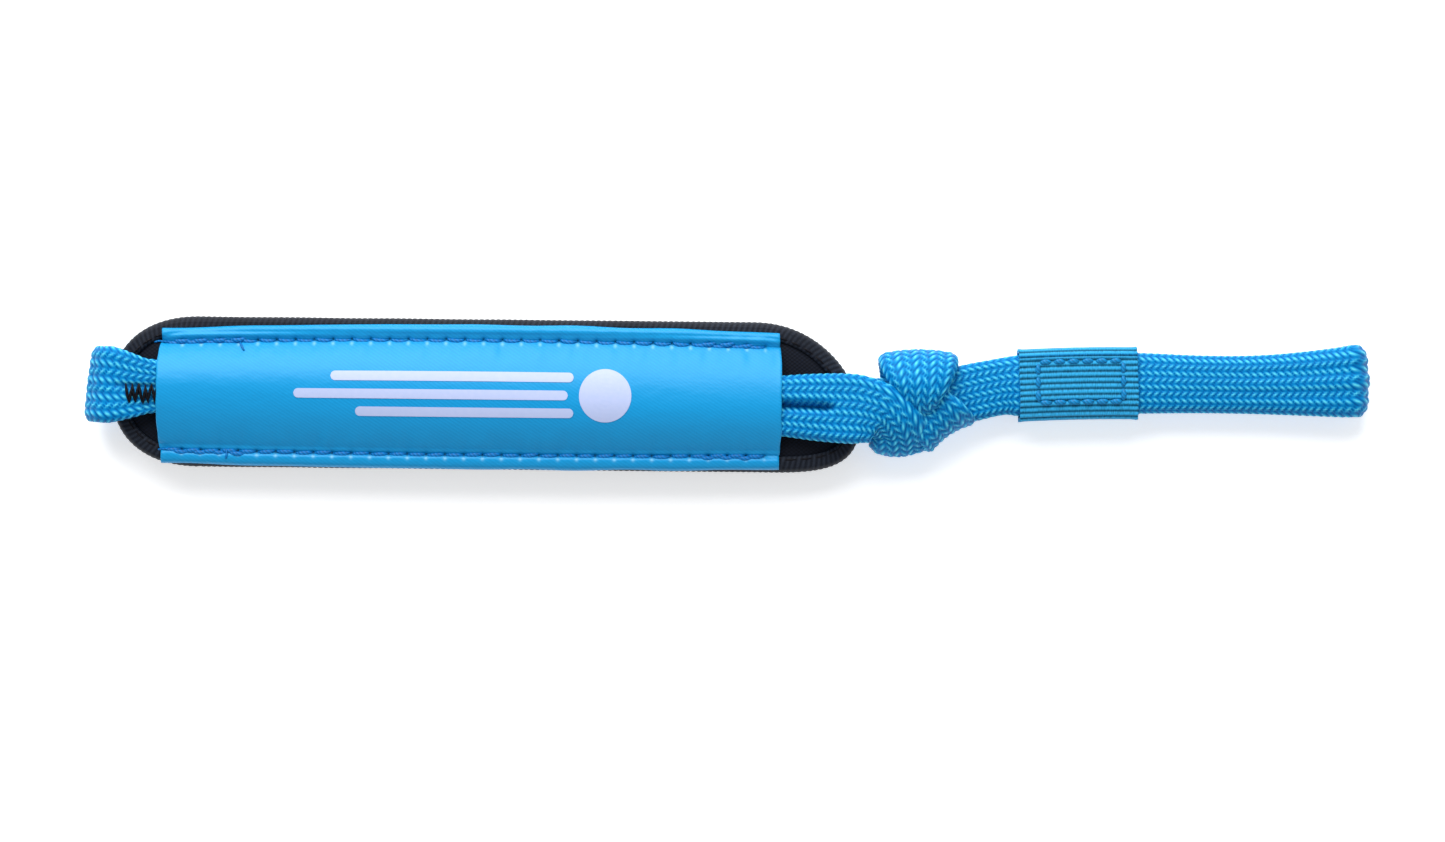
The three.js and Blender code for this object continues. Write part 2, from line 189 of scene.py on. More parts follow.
def make_mesh(name, points, faces, uv=None, values=None):
    """A mesh object from points in millimetres. uv has one pair for each corner of each face."""
    mesh = bpy.data.meshes.new(name)
    mesh.from_pydata((np.asarray(points, float).reshape(-1, 3) * MM).tolist(), [], faces)
    if uv is not None:
        mesh.uv_layers.new(name="Cloth").data.foreach_set("uv", np.asarray(uv, float).ravel())
    for key, value in (values or {}).items():
        mesh.attributes.new(key, "FLOAT", "POINT").data.foreach_set("value", np.ravel(value))
    mesh.polygons.foreach_set("use_smooth", [True] * len(mesh.polygons))
    mesh.update()
    piece = bpy.data.objects.new(name, mesh)
    bpy.context.scene.collection.objects.link(piece)
    return piece


def grid_faces(rows, columns, wrap=False, start=0):
    """Quads of a grid of rows x columns points, closed across its columns if wrap."""
    i, j = np.meshgrid(np.arange(rows - 1), np.arange(columns if wrap else columns - 1), indexing="ij")
    here, above = i * columns, (i + 1) * columns
    k = (j + 1) % columns
    quads = np.stack([here + j, here + k, above + k, above + j], -1)
    return (quads.reshape(-1, 4) + start).tolist()


def cloth_shell(name, upper, lower, uv, values=None):
    """A closed cloth from two grids of points, its upper and its lower face, seen from above."""
    rows, columns = upper.shape[:2]
    count = rows * columns
    top = [face[::-1] for face in grid_faces(rows, columns)]
    bottom = grid_faces(rows, columns, start=count)
    rim = (
        [(r, 0) for r in range(rows)]
        + [(rows - 1, c) for c in range(1, columns)]
        + [(r, columns - 1) for r in range(rows - 2, -1, -1)]
        + [(0, c) for c in range(columns - 2, 0, -1)]
    )
    rim = [r * columns + c for r, c in rim]
    walls = [[a, b, b + count, a + count] for a, b in zip(rim, rim[1:] + rim[:1])]
    faces = top + bottom + walls
    flat = np.concatenate([uv.reshape(-1, 2)] * 2)
    corner_uv = flat[[v for face in faces for v in face]]
    if values:
        values = {k: np.concatenate([np.ravel(v)] * 2) for k, v in values.items()}
    points = np.concatenate([upper.reshape(-1, 3), lower.reshape(-1, 3)])
    return outward(make_mesh(name, points, faces, corner_uv, values))


def select(*pieces):
    """Selects these pieces alone, and makes the first one active."""
    bpy.ops.object.select_all(action="DESELECT")
    for piece in pieces:
        piece.select_set(True)
    bpy.context.view_layer.objects.active = pieces[0]


def joined(name, pieces):
    """Joins pieces into one."""
    select(*pieces)
    bpy.ops.object.join()
    piece = bpy.context.object
    piece.name = piece.data.name = name
    return piece


def edit(piece, *steps):
    """Runs edit-mode operators on all of a piece's mesh."""
    select(piece)
    bpy.ops.object.mode_set(mode="EDIT")
    bpy.ops.mesh.select_all(action="SELECT")
    for step in steps:
        step()
    bpy.ops.object.mode_set(mode="OBJECT")


def outward(piece):
    """Turns all of a piece's faces outwards."""
    edit(piece, lambda: bpy.ops.mesh.normals_make_consistent(inside=False))
    return piece


def finish_piece(piece, body, material, nodes=()):
    """Gives a piece its body and its finish, and hides the frame nodes that it stands for."""
    piece.data.materials.clear()
    piece.data.materials.append(material)
    if body:
        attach(piece, body)
    if nodes:
        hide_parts(*nodes)


# ------------------------------------------------------------------ node helpers


class Nodes:
    """A material's node tree, with one short call for each node."""

    def __init__(self, name):
        self.material = bpy.data.materials.new(name)
        self.material.use_nodes = True
        self.tree = self.material.node_tree
        self.shader = self.tree.nodes["Principled BSDF"]

    def add(self, kind, inputs=(), **settings):
        """A new node of a kind, with its inputs linked or set, and its settings."""
        node = self.tree.nodes.new("ShaderNode" + kind)
        for key, value in settings.items():
            setattr(node, key, value)
        for key, value in dict(inputs).items():
            self.put(node.inputs[key], value)
        return node

    def put(self, socket, value):
        """Links a socket to an input, or sets the input's value."""
        if isinstance(value, bpy.types.NodeSocket):
            self.tree.links.new(value, socket)
        else:
            socket.default_value = value

    def math(self, operation, a, b=0.0, clamp=False):
        """The result of a Math node."""
        node = self.add("Math", {0: a, 1: b}, operation=operation, use_clamp=clamp)
        return node.outputs[0]

    def plus(self, a, b, clamp=False):
        return self.math("ADD", a, b, clamp)

    def minus(self, a, b, clamp=False):
        return self.math("SUBTRACT", a, b, clamp)

    def times(self, a, b, clamp=False):
        return self.math("MULTIPLY", a, b, clamp)

    def attribute(self, name):
        """A value that make_mesh() stored at the mesh's points."""
        return self.add("Attribute", attribute_name=name).outputs["Fac"]

    def mix(self, factor, a, b):
        """A blend of two colours."""
        node = self.add("Mix", data_type="RGBA")
        self.put(node.inputs[0], factor)
        self.put(node.inputs[6], a)
        self.put(node.inputs[7], b)
        return node.outputs[2]

    def noise(self, vector, scale, detail=2.0, roughness=0.5):
        inputs = {"Vector": vector, "Scale": scale, "Detail": detail, "Roughness": roughness}
        return self.add("TexNoise", inputs).outputs[0]

    def stretch(self, vector, scale):
        return self.add("Mapping", {"Vector": vector, "Scale": scale}).outputs[0]

    def bump(self, height, strength, distance, normal=None):
        inputs = {"Height": height, "Strength": strength, "Distance": distance}
        if normal is not None:
            inputs["Normal"] = normal
        return self.add("Bump", inputs).outputs[0]

    def cloth_map(self):
        """The place on the cloth, from the piece's UV map."""
        return self.add("UVMap", uv_map="Cloth").outputs[0]

    def place(self):
        """The place in the piece's own space, in metres."""
        return self.add("TexCoord").outputs["Object"]

    def set(self, **values):
        """Sets the shader's inputs, by their names in lower case with underscores."""
        names = {key.lower().replace(" ", "_"): key for key in self.shader.inputs.keys()}
        for key, value in values.items():
            self.put(self.shader.inputs[names[key]], value)


def rgba(colour, gain=1.0):
    """A colour made gain times as bright, with full alpha."""
    return (*(min(1.0, c * gain) for c in colour), 1.0)


def mixed(a, b, t):
    """The colour a share t of the way from a to b."""
    return tuple(x + (y - x) * t for x, y in zip(a, b))


# ------------------------------------------------------------------ the flat braid


WRIST_LINE = [(BEND_X - 5, 1.7), (BEND_X + 6, 1.25), (NECK_X - 14, -1.85), (NECK_X, -2.4)]
WRIST_WIDTHS = [
    (BEND_X - 3, 12.4),
    (BEND_X + 6, 9.8),
    (BEND_X + 18, 10.2),
    (NECK_X - 14, 10.4),
    (NECK_X - 2, 11.2),
]
SLIT_END = SLEEVE_HIGH[0] + 9.5  # where the pinch in the cord's face past the sleeve runs out
LAP_START = FRONT_LOW[0]
LAP_END = LAP_START + 13.0
LAP_THICK = THICK * 0.46
SWAY, SWAY_LENGTH = 0.35, 61.0  # of the racket loop

# The doubled cord's way through the overhand knot, front strand then back strand: x, y, z, the way
# that the flat faces, the width and the thickness.
KNOT_FRONT = [
    ((22.4, -2.6, 9.5), (0.0, -0.06, 1.0), 10.6, 2.4),
    ((25.2, -3.4, 9.4), (-0.05, -0.25, 1.0), 9.8, 2.5),
    ((27.3, -5.8, 8.3), (-0.1, -0.75, 0.85), 9.6, 2.6),
    ((27.8, -8.6, 5.4), (0.12, -1.0, 0.05), 10.0, 2.4),
    ((28.8, -7.4, 2.6), (0.0, -0.7, -0.85), 10.4, 2.2),
    ((30.0, -3.0, 1.5), (0.0, 0.0, -1.0), 11.2, 2.2),
    ((30.6, 2.0, 1.7), (0.0, 0.2, -1.0), 11.8, 2.2),
    ((30.7, 5.0, 3.6), (0.0, 0.85, -0.6), 12.6, 2.3),
    ((30.7, 5.8, 6.2), (0.0, 1.0, 0.15), 12.9, 2.4),
    ((30.8, 4.4, 8.9), (0.02, 0.65, 0.8), 12.4, 2.6),
    ((31.0, 1.6, 10.2), (0.05, 0.05, 1.0), 9.8, 2.7),
    ((31.1, -1.3, 9.2), (0.0, -0.55, 0.95), 6.6, 3.0),
    ((32.4, -2.4, 6.9), (0.5, -0.5, 0.7), 6.6, 2.6),
    ((35.6, -0.7, 6.1), (0.25, -0.1, 1.0), 8.8, 2.4),
]
KNOT_BACK = [
    ((35.6, -0.6, 2.9), (0.1, 0.0, 1.0), 8.6, 2.2),
    ((33.0, 0.6, 5.2), (0.4, 0.3, 0.9), 8.0, 2.2),
    ((30.8, 2.8, 6.6), (0.0, 0.6, 0.9), 9.4, 2.0),
    ((30.8, 3.8, 5.2), (0.0, 1.0, 0.1), 10.2, 1.9),
    ((31.6, 2.4, 3.7), (0.0, 0.6, -0.9), 10.2, 1.8),
    ((33.4, -2.2, 2.4), (0.2, -0.3, -1.0), 10.8, 2.0),
    ((34.9, -5.2, 3.0), (0.54, -0.84, -0.7), 9.2, 2.3),
    ((35.2, -5.3, 5.4), (0.54, -0.84, 0.3), 9.4, 2.4),
    ((34.2, -4.3, 7.5), (0.38, -0.60, 0.8), 9.4, 2.4),
    ((32.2, -2.6, 7.9), (0.0, 0.0, 1.0), 8.6, 2.2),
    ((29.0, -1.6, 6.0), (-0.3, 0.0, 1.0), 9.0, 2.0),
    ((25.0, -2.3, 3.2), (-0.3, 0.0, 1.0), 10.0, 2.1),
]


def wrist_stations(start, end, z, lean, step=6.0):
    """Stations of a straight run of the wrist loop, from start to end."""
    count = max(2, int(round(abs(end - start) / step)) + 1)
    xs = np.linspace(start, end, count)
    ys = along(xs, WRIST_LINE)
    widths = along(xs, WRIST_WIDTHS)
    return [((x, y, z), (0, 0, lean), w, THICK) for x, y, w in zip(xs, ys, widths)]


def tail_stations(side):
    """Stations of one strand of the racket loop, from the hinge outwards. side is 1 above, -1 below."""
    stations = []
    for x, lift, width, thick in (
        (2.0, 1.32, 9.2, 2.3),
        (5.0, 1.34, 9.9, THICK),
        (14.0, 1.35, 10.0, THICK),
        (24.0, 1.35, 9.8, THICK),
        (34.0, 1.36, 9.3, THICK),
        (42.0, 1.42, 9.4, THICK),
        (49.0, 1.62, 10.1, THICK),
        (TAIL_REACH - 3.6, 1.86, 11.5, THICK),
    ):
        place = in_tail(x, tail_sway(x), side * lift)
        stations.append((tuple(place), (0, 0, side), width, thick))
    return stations


def tail_sway(x):
    """The racket loop isn't quite straight: it dips a little where the keeper is."""
    return SWAY * np.sin(np.asarray(x, float) / SWAY_LENGTH * math.pi * 2)


def fold_stations():
    """The racket loop's far end, where the cord turns back under itself."""
    radius = 1.9
    centre = TAIL_REACH - radius - THICK / 2 - CROWN_ROOM
    stations = []
    for degrees in (50, 0, -50):
        angle = math.radians(degrees)
        out = math.cos(angle) * TAIL_DIR + math.sin(angle) * UP
        place = in_tail(centre, 0.0, 0.0) + out * radius
        stations.append((tuple(place), tuple(out), 11.7, THICK))
    return stations


def through(stations, spacing):
    """A smooth line through stations, sampled at spacing(place), with its lean, width and thickness."""
    rows = np.array([(*place, *lean, width, thick) for place, lean, width, thick in stations], float)
    gaps = np.linalg.norm(np.diff(rows[:, :3], axis=0), axis=1) ** 0.5
    knots = np.concatenate([[0], np.cumsum(gaps)])
    rows = np.vstack([2 * rows[0] - rows[1], rows, 2 * rows[-1] - rows[-2]])
    knots = np.concatenate([[-gaps[0]], knots, [knots[-1] + gaps[-1]]])
    dense = []
    for i in range(1, len(rows) - 2):
        t0, t1, t2, t3 = knots[i - 1 : i + 3]
        t = np.linspace(t1, t2, 120, endpoint=i == len(rows) - 3)[:, None]
        p0, p1, p2, p3 = rows[i - 1 : i + 3]
        a1 = (t1 - t) / (t1 - t0) * p0 + (t - t0) / (t1 - t0) * p1
        a2 = (t2 - t) / (t2 - t1) * p1 + (t - t1) / (t2 - t1) * p2
        a3 = (t3 - t) / (t3 - t2) * p2 + (t - t2) / (t3 - t2) * p3
        b1 = (t2 - t) / (t2 - t0) * a1 + (t - t0) / (t2 - t0) * a2
        b2 = (t3 - t) / (t3 - t1) * a2 + (t - t1) / (t3 - t1) * a3
        dense.append((t2 - t) / (t2 - t1) * b1 + (t - t1) / (t2 - t1) * b2)
    dense = np.vstack(dense)
    length = run_length(dense[:, :3])
    stops = [0.0]
    while stops[-1] < length[-1]:
        stops.append(stops[-1] + spacing(sampled(stops[-1], length, dense[:, :3])))
    stops = np.array(stops[:-1] + [length[-1]])
    return stops, sampled(stops, length, dense)


COLUMNS = 20  # columns of floats round the flat braid, an even number
SAMPLES = 4  # points across a column, and along a float
PRESSED = 0.5  # below this height the braid is pressed flat by what it lies on


def flat_section(share, half, thin):
    """A flat tube's outline: a share of the way round it gives across, up, and the way out."""
    flat = np.maximum(half - thin, 0.01)
    quarter = math.pi * thin / 2
    s = share * (4 * flat + 4 * quarter)
    corner = [quarter, quarter + 2 * flat, 3 * quarter + 2 * flat, 3 * quarter + 4 * flat]
    angle = np.select(
        [s < corner[0], s < corner[1], s < corner[2], s < corner[3]],
        [s / thin, math.pi / 2, math.pi / 2 + (s - corner[1]) / thin, -math.pi / 2],
        -math.pi / 2 + (s - corner[3]) / thin,
    )
    middle = np.select(
        [s < corner[0], s < corner[1], s < corner[2], s < corner[3]],
        [flat, flat - (s - corner[0]), -flat, -flat + (s - corner[2])],
        flat,
    )
    across, up = middle + thin * np.cos(angle), thin * np.sin(angle)
    return across, up, np.cos(angle), np.sin(angle)


def float_height(lengthwise, around):
    """The braid's relief, from 0 between the floats to 1 on top of one. Its columns lean in turn."""
    column = np.floor(around)
    inside = around - column
    phase = lengthwise + np.where(column % 2 == 0, inside, -inside)
    phase -= np.floor(phase)
    crest = (1 - (2 * phase - 1) ** 2) ** 0.65
    return crest * (0.42 + 0.58 * np.sin(math.pi * inside))


def in_knot(x):
    """1 in the knot and 0 well outside it."""
    return ramp(x, NECK_X + 0.5, NECK_X + 4.5) * (1 - ramp(x, HINGE[0] - 5.5, HINGE[0] - 2.0))


def knot_cup(places):
    """How far the braid's edges turn back where the knot squeezes it."""
    return (0.5 + 0.8 * ramp(-places[:, 1], 3.0, 7.0)) * in_knot(places[:, 0])


def crown_share(places):
    """The braid is flatter in the knot, round its bend and at the mouths of the sleeve."""
    x, z = places[:, 0], places[:, 2]
    mouth = ramp(x, NECK_X - 1, SLEEVE_HIGH[0] + 1.5) * (z > FRONT_LOW[2] - 1)
    return (0.35 + 0.65 * ramp(x, HINGE[0] - 3, HINGE[0] + 4)) * (1 - mouth)


def braided(name, stations, settings, visible, crease, flutes):
    """Sweeps the flat braid along its stations.

    visible(places) is 0 where the braid is hidden and has no relief. crease(places) is the depth of
    a lengthwise pinch in its outer face, and flutes(places) that of the shallow grooves beside it.
    """
    pitch = settings.float_pitch / MM
    fine = pitch / SAMPLES

    def spacing(place):
        return fine if visible(np.array([place]))[0] > 0 else pitch

    stops, rows = through(stations, spacing)
    places, widths, thicks = rows[:, :3], rows[:, 6:7], rows[:, 7:8]
    ahead = np.gradient(places, stops, axis=0)
    ahead /= np.linalg.norm(ahead, axis=1, keepdims=True)
    lean = rows[:, 3:6] - (rows[:, 3:6] * ahead).sum(1, keepdims=True) * ahead
    lean /= np.linalg.norm(lean, axis=1, keepdims=True)
    side = np.cross(lean, ahead)
    around = COLUMNS * SAMPLES
    share = (np.arange(around) / around)[None, :]
    across, up, out_side, out_up = flat_section(share, widths / 2, thicks / 2)
    half = widths / 2
    depth = crease(places)[:, None]
    slit = np.exp(-(((across - 0.05) / 0.55) ** 2))
    pinch = depth * (slit + 0.16 * (np.abs(across) / half) ** 2) * (up > 0)
    flute = flutes(places)[:, None] * (0.5 - 0.5 * np.cos(across / half * 3.2 * math.pi)) * np.sign(up)
    lengthwise = (stops / pitch)[:, None]
    relief = float_height(lengthwise, share * COLUMNS)
    raised = (relief - 0.55) * settings.relief / MM * visible(places)[:, None]
    cup = knot_cup(places)[:, None] * (across / half) ** 2
    across = across + out_side * raised
    crown = settings.crown / MM * (1 - (across / half) ** 2) * np.where(up > 0, 1.0, -0.4)
    crown = crown * (crown_share(places) * visible(places))[:, None]
    up = up + crown + out_up * raised - pinch - flute - cup
    points = places[:, None, :] + across[..., None] * side[:, None, :] + up[..., None] * lean[:, None, :]
    z = points[..., 2]
    points[..., 2] = np.where(z < PRESSED, PRESSED * np.exp(np.minimum(z, PRESSED) / PRESSED - 1), z)
    count = len(stops)
    faces = grid_faces(count, around, wrap=True)
    corners = np.array(faces)
    ring, spot = corners // around, corners % around
    spot = np.where((spot == 0) & (spot.max(1, keepdims=True) == around - 1), around, spot)
    uv = np.stack([(stops / pitch)[ring], spot / SAMPLES], -1).reshape(-1, 2)
    caps = [list(range(around))[::-1], list(range((count - 1) * around, count * around))]
    uv = np.concatenate([uv, np.zeros((2 * around, 2))])
    # Where the painted shade of the slit goes, down the pinch in the cord's outer face.
    slit_shade = np.minimum(depth, 1.5) / 1.5 * slit * (up > 0)
    piece = make_mesh(name, points, faces + caps, uv, {"relief": relief, "slit_shade": slit_shade})
    return outward(piece), places[:: max(1, int(4.0 / fine))], stops[-1]


BLUE_GLOSS = (0.30, 0.80, 1.0, 1.0)  # how dyed yarn tints what it reflects


def braid_material(settings):
    """Shiny polyester: painted highlights on the float crests over painted shade in the gaps between
    them, with the fibres of each float.
    """
    n = Nodes("braided polyester")
    base = tuple(settings.colour)
    relief = n.attribute("relief")
    cloth = n.cloth_map()
    split = n.add("SeparateXYZ", {0: cloth})
    column = n.math("FLOOR", split.outputs[1])
    inside = n.minus(split.outputs[1], column)
    odd = n.math("MODULO", column, 2.0)
    turn = n.minus(1.0, n.times(odd, 2.0))
    phase = n.plus(split.outputs[0], n.times(inside, turn))
    fibres = n.math("SINE", n.times(phase, 2 * math.pi * 7))
    patches = n.noise(n.place(), 240.0, 3.0)
    yarns = n.noise(n.stretch(cloth, (0.9, 1.0, 1.0)), 1.4, 2.0)
    # Painted shade for the gaps between the floats, and a painted highlight in light cyan for the float
    # crests.
    float_gap_shade = rgba(mixed((0.0, 0.080, 0.36), base, 0.12))
    crest = rgba(mixed(base, (0.15, 0.86, 1.0), 0.78))
    lift = n.plus(relief, n.times(n.minus(yarns, 0.5), 0.30), clamp=True)
    low = n.mix(n.times(lift, 1.7, clamp=True), float_gap_shade, rgba(base))
    # Painted highlight on the middle of each float's crest only; low runs into painted shade towards the
    # gaps.
    high = n.math("POWER", n.times(n.minus(lift, 0.49), 2.2, clamp=True), 2.5)
    colour = n.mix(high, low, crest)
    colour = n.mix(n.times(patches, 0.22), colour, rgba(base, 0.55))
    # Painted shade down the slit pinched into the cord's outer face.
    slit_shade = n.attribute("slit_shade")
    colour = n.mix(n.times(slit_shade, 0.95), colour, (0.0, 0.018, 0.14, 1.0))
    n.set(
        base_color=colour,
        roughness=n.plus(0.30, n.times(yarns, 0.22)),
        specular_ior_level=0.20,
        specular_tint=BLUE_GLOSS,
        normal=n.bump(n.times(fibres, 0.5), 0.55, 0.00003),
    )
    return n.material


def make_cord(settings):
    """The cord in two lengths that meet inside the knot."""
    hidden = (SLEEVE_LOW[0] + 2.2, SLEEVE_HIGH[0] - 4.0)

    def front_visible(places):
        x, z = places[:, 0], places[:, 2]
        inside = ramp(x, hidden[0] - 2, hidden[0]) * (1 - ramp(x, hidden[1], hidden[1] + 2))
        lap = ramp(x, SLEEVE_LOW[0], SLEEVE_LOW[0] + 0.5) * (1 - ramp(x, LAP_END - 1, LAP_END))
        return np.where(z > FRONT_LOW[2] - 1, 1 - np.maximum(inside, lap), 1.0)

    def neck_crease(places):
        x, z = places[:, 0], places[:, 2]
        depth = 2.4 * (1 - ramp(x, SLIT_END - 3.5, SLIT_END))
        return np.where((z > FRONT_LOW[2]) & (x > 0), depth, 0.0)

    def tail_flutes(places):
        x = (places - HINGE) @ TAIL_DIR
        near = ramp(x, 24, 58) * 0.20
        return np.where(x > 5, near + 0.03, 0.0)

    lower_end = wrist_stations(LAP_START + 0.4, LAP_END - 0.4, FRONT_Z - 0.62, 1)
    lower_end = [(place, lean, width * 0.86, LAP_THICK) for place, lean, width, _ in lower_end]
    run = []
    for (x, y, z), lean, width, thick in wrist_stations(LAP_END + 4, NECK_X - 1.5, FRONT_Z, 1):
        squeezed = 1 - float(ramp(x, hidden[1] - 2, hidden[1] + 8.5))
        place = (x, y, z - 0.25 * squeezed)
        run.append((place, lean, width * (1 - 0.18 * squeezed), thick * (1 - 0.25 * squeezed)))
    there = tail_stations(1)
    back = tail_stations(-1)[::-1]
    knot_back = [(place, tuple(-c for c in lean), *size) for place, lean, *size in KNOT_BACK]
    stations = lower_end + run + KNOT_FRONT + there + fold_stations() + back + knot_back
    front, front_path, front_length = braided(
        "braided_cord_front", stations, settings, front_visible, neck_crease, tail_flutes
    )

    def back_visible(places):
        x, z = places[:, 0], places[:, 2]
        return np.where((z > BEND_RADIUS) & (x > hidden[0]), 0.0, 1.0)

    def tack_dip(places):
        x, z = places[:, 0], places[:, 2]
        dip = 0.5 * ramp(x, BEND_X - 1.5, BEND_X + 2.5)
        return np.where(z > BEND_RADIUS, dip, 0.0)

    def back_flutes(places):
        return np.full(len(places), 0.04)

    top = []
    upper_end = wrist_stations(BEND_X + 3.4, LAP_END - 0.6, FRONT_Z + 0.55, 1, 3.0)
    for (x, y, z), lean, width, _ in upper_end[::-1]:
        squeezed = float(ramp(x, SLEEVE_LOW[0] - 5.0, SLEEVE_LOW[0] + 0.5))
        top.append(((x, y, z - 0.45 * squeezed), lean, width * (1 - 0.18 * squeezed), LAP_THICK))
    turn = []
    for degrees in (78, 45, 10, -25, -60):
        angle = math.radians(degrees)
        out = np.array([-math.cos(angle), 0.12 * math.cos(angle), math.sin(angle)])
        x = BEND_X - (BEND_RADIUS - CROWN_ROOM) * math.cos(angle)
        z = BEND_RADIUS + THICK / 2 + BEND_RADIUS * math.sin(angle)
        turn.append(((x, float(along(x, WRIST_LINE)), z), tuple(out), 12.3, THICK))
    under = wrist_stations(BEND_X + 1.5, NECK_X - 1.5, BACK_Z, -1)
    under += [
        ((NECK_X + 1.5, -2.4, 1.5), (0, 0, -1), 10.0, 2.3),
        ((NECK_X + 4.0, -2.3, 2.5), (0.3, 0, -1), 8.6, 2.2),
        ((NECK_X + 6.5, -2.2, 3.8), (0.3, 0, -1), 7.6, 2.0),
    ]
    stations = top + turn + under
    rear, rear_path, rear_length = braided(
        "braided_cord_back", stations, settings, back_visible, tack_dip, back_flutes
    )
    material = braid_material(settings)
    front_nodes = ("cord_front_run", "overhand_knot", "racket_loop_cord")
    finish_piece(front, None, material, front_nodes)
    finish_piece(rear, "wrist_loop", material, ("cord_back_run",))
    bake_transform(front)


# ------------------------------------------------------------------ the padded cuff


PAD_HALF = (BINDING_HIGH[1] - BINDING_LOW[1]) / 2 - 0.45
PAD_HALF_LENGTH = (BINDING_HIGH[0] - BINDING_LOW[0]) / 2
PAD_LEFT = 14.4 - PAD_HALF_LENGTH  # its sides are straight between these
PAD_RIGHT = PAD_HALF_LENGTH - 17.4
PAD_POWER = 2.3  # of its rounded ends: 2 is an ellipse, and more is squarer
PAD_SKEW = 3.8  # how far the right-hand tip leans down
PAD_MIDDLE = (BINDING_LOW[2] + BINDING_HIGH[2]) / 2
PAD_CROWN = 2.35  # half thickness in the middle
PAD_RIM = 1.45  # half thickness at the rim
COVER_SHARE = 0.96  # how far the covers reach towards the rim
TAPE = 0.45  # thickness of the binding tape
TAPE_FOLD = 0.9  # radius of its fold round the rim
TAPE_SAMPLE = 0.22  # distance between its points
TAPE_RIB = 0.10  # height of its ribs


def pad_outline(count):
    """Points round the cuff, anticlockwise from its lower left, and each one's place on its spine."""
    end = np.linspace(-math.pi / 2, math.pi / 2, count // 5)[1:-1]
    power = 2 / PAD_POWER
    c = np.cos(end) ** power
    s = np.sign(np.sin(end)) * np.abs(np.sin(end)) ** power
    run = np.linspace(PAD_LEFT, PAD_RIGHT, count // 3)
    right = np.stack([PAD_RIGHT + (PAD_HALF_LENGTH - PAD_RIGHT) * c, PAD_HALF * s - PAD_SKEW * c * c], 1)
    left = np.stack([PAD_LEFT - (PAD_HALF_LENGTH + PAD_LEFT) * c, -PAD_HALF * s], 1)
    lower = np.stack([run, np.full(len(run), -PAD_HALF)], 1)
    upper = np.stack([run[::-1], np.full(len(run), PAD_HALF)], 1)
    line = np.concatenate([lower, right, upper, left])
    spine = np.stack([np.clip(line[:, 0], PAD_LEFT, PAD_RIGHT), 0 * line[:, 1]], 1)
    return line, spine


def closed_outline(count):
    """The cuff's outline, back to its first point, and its length up to each point."""
    line, _ = pad_outline(count)
    line = np.concatenate([line, line[:1]])
    return line, run_length(line)


def pad_depth(x, y):
    """0 on the cuff's spine and 1 on its edge, at places along and across it."""
    x, y = np.broadcast_arrays(np.asarray(x, float), np.asarray(y, float))
    right = np.clip((x - PAD_RIGHT) / (PAD_HALF_LENGTH - PAD_RIGHT), 0, None)
    left = np.clip((PAD_LEFT - x) / (PAD_HALF_LENGTH + PAD_LEFT), 0, None)
    across = np.abs(y + PAD_SKEW * right**2) / PAD_HALF
    return (right**PAD_POWER + left**PAD_POWER + across**PAD_POWER) ** (1 / PAD_POWER)


def pad_swell(x, y, inset=0.0):
    """Half the cuff's thickness: crowned in the middle, thin and rounded at its stitched rim."""
    depth = np.clip(pad_depth(x, y), 0, 1)
    crown = PAD_RIM + (PAD_CROWN - PAD_RIM) * (1 - depth**3.2)
    stitch = 0.22 * np.exp(-(((depth - 0.80) / 0.035) ** 2))
    waves = 0.05 * ripple(x, 3, 11.0) * (1 - depth**4)
    return crown - stitch + waves - inset


def pad_top(x, y):
    """The height of the cuff's front face."""
    return PAD_MIDDLE + pad_swell(x, y)


def cuff_layer(name, low, high, reach, rings=14, count=300):
    """A layer of the cuff between two shares of its thickness, out to a share of its breadth."""
    line, spine = pad_outline(count)
    shares = np.linspace(0, reach, rings)[:, None, None]
    flat = spine + (line - spine) * shares
    x, y = flat[..., 0], flat[..., 1]
    swell = pad_swell(x, y)
    faces_up = in_pad(x, y, PAD_MIDDLE + swell * high)
    faces_down = in_pad(x, y, PAD_MIDDLE + swell * low)
    around = len(line)
    total = rings * around
    top = grid_faces(rings, around, wrap=True)
    bottom = [face[::-1] for face in grid_faces(rings, around, wrap=True, start=total)]
    last = (rings - 1) * around
    rim = [(last + i, last + (i + 1) % around) for i in range(around)]
    wall = [[a, b, total + b, total + a] for a, b in rim]
    faces = top + bottom + wall
    flat_uv = np.concatenate([flat.reshape(-1, 2)] * 2)
    uv = flat_uv[[v for face in faces for v in face]]
    points = np.concatenate([faces_up.reshape(-1, 3), faces_down.reshape(-1, 3)])
    piece = make_mesh(name, points, faces, uv)
    edit(
        piece,
        lambda: bpy.ops.mesh.remove_doubles(threshold=WELD),
        lambda: bpy.ops.mesh.dissolve_degenerate(threshold=WELD),
        lambda: bpy.ops.mesh.normals_make_consistent(inside=False),
    )
    return piece


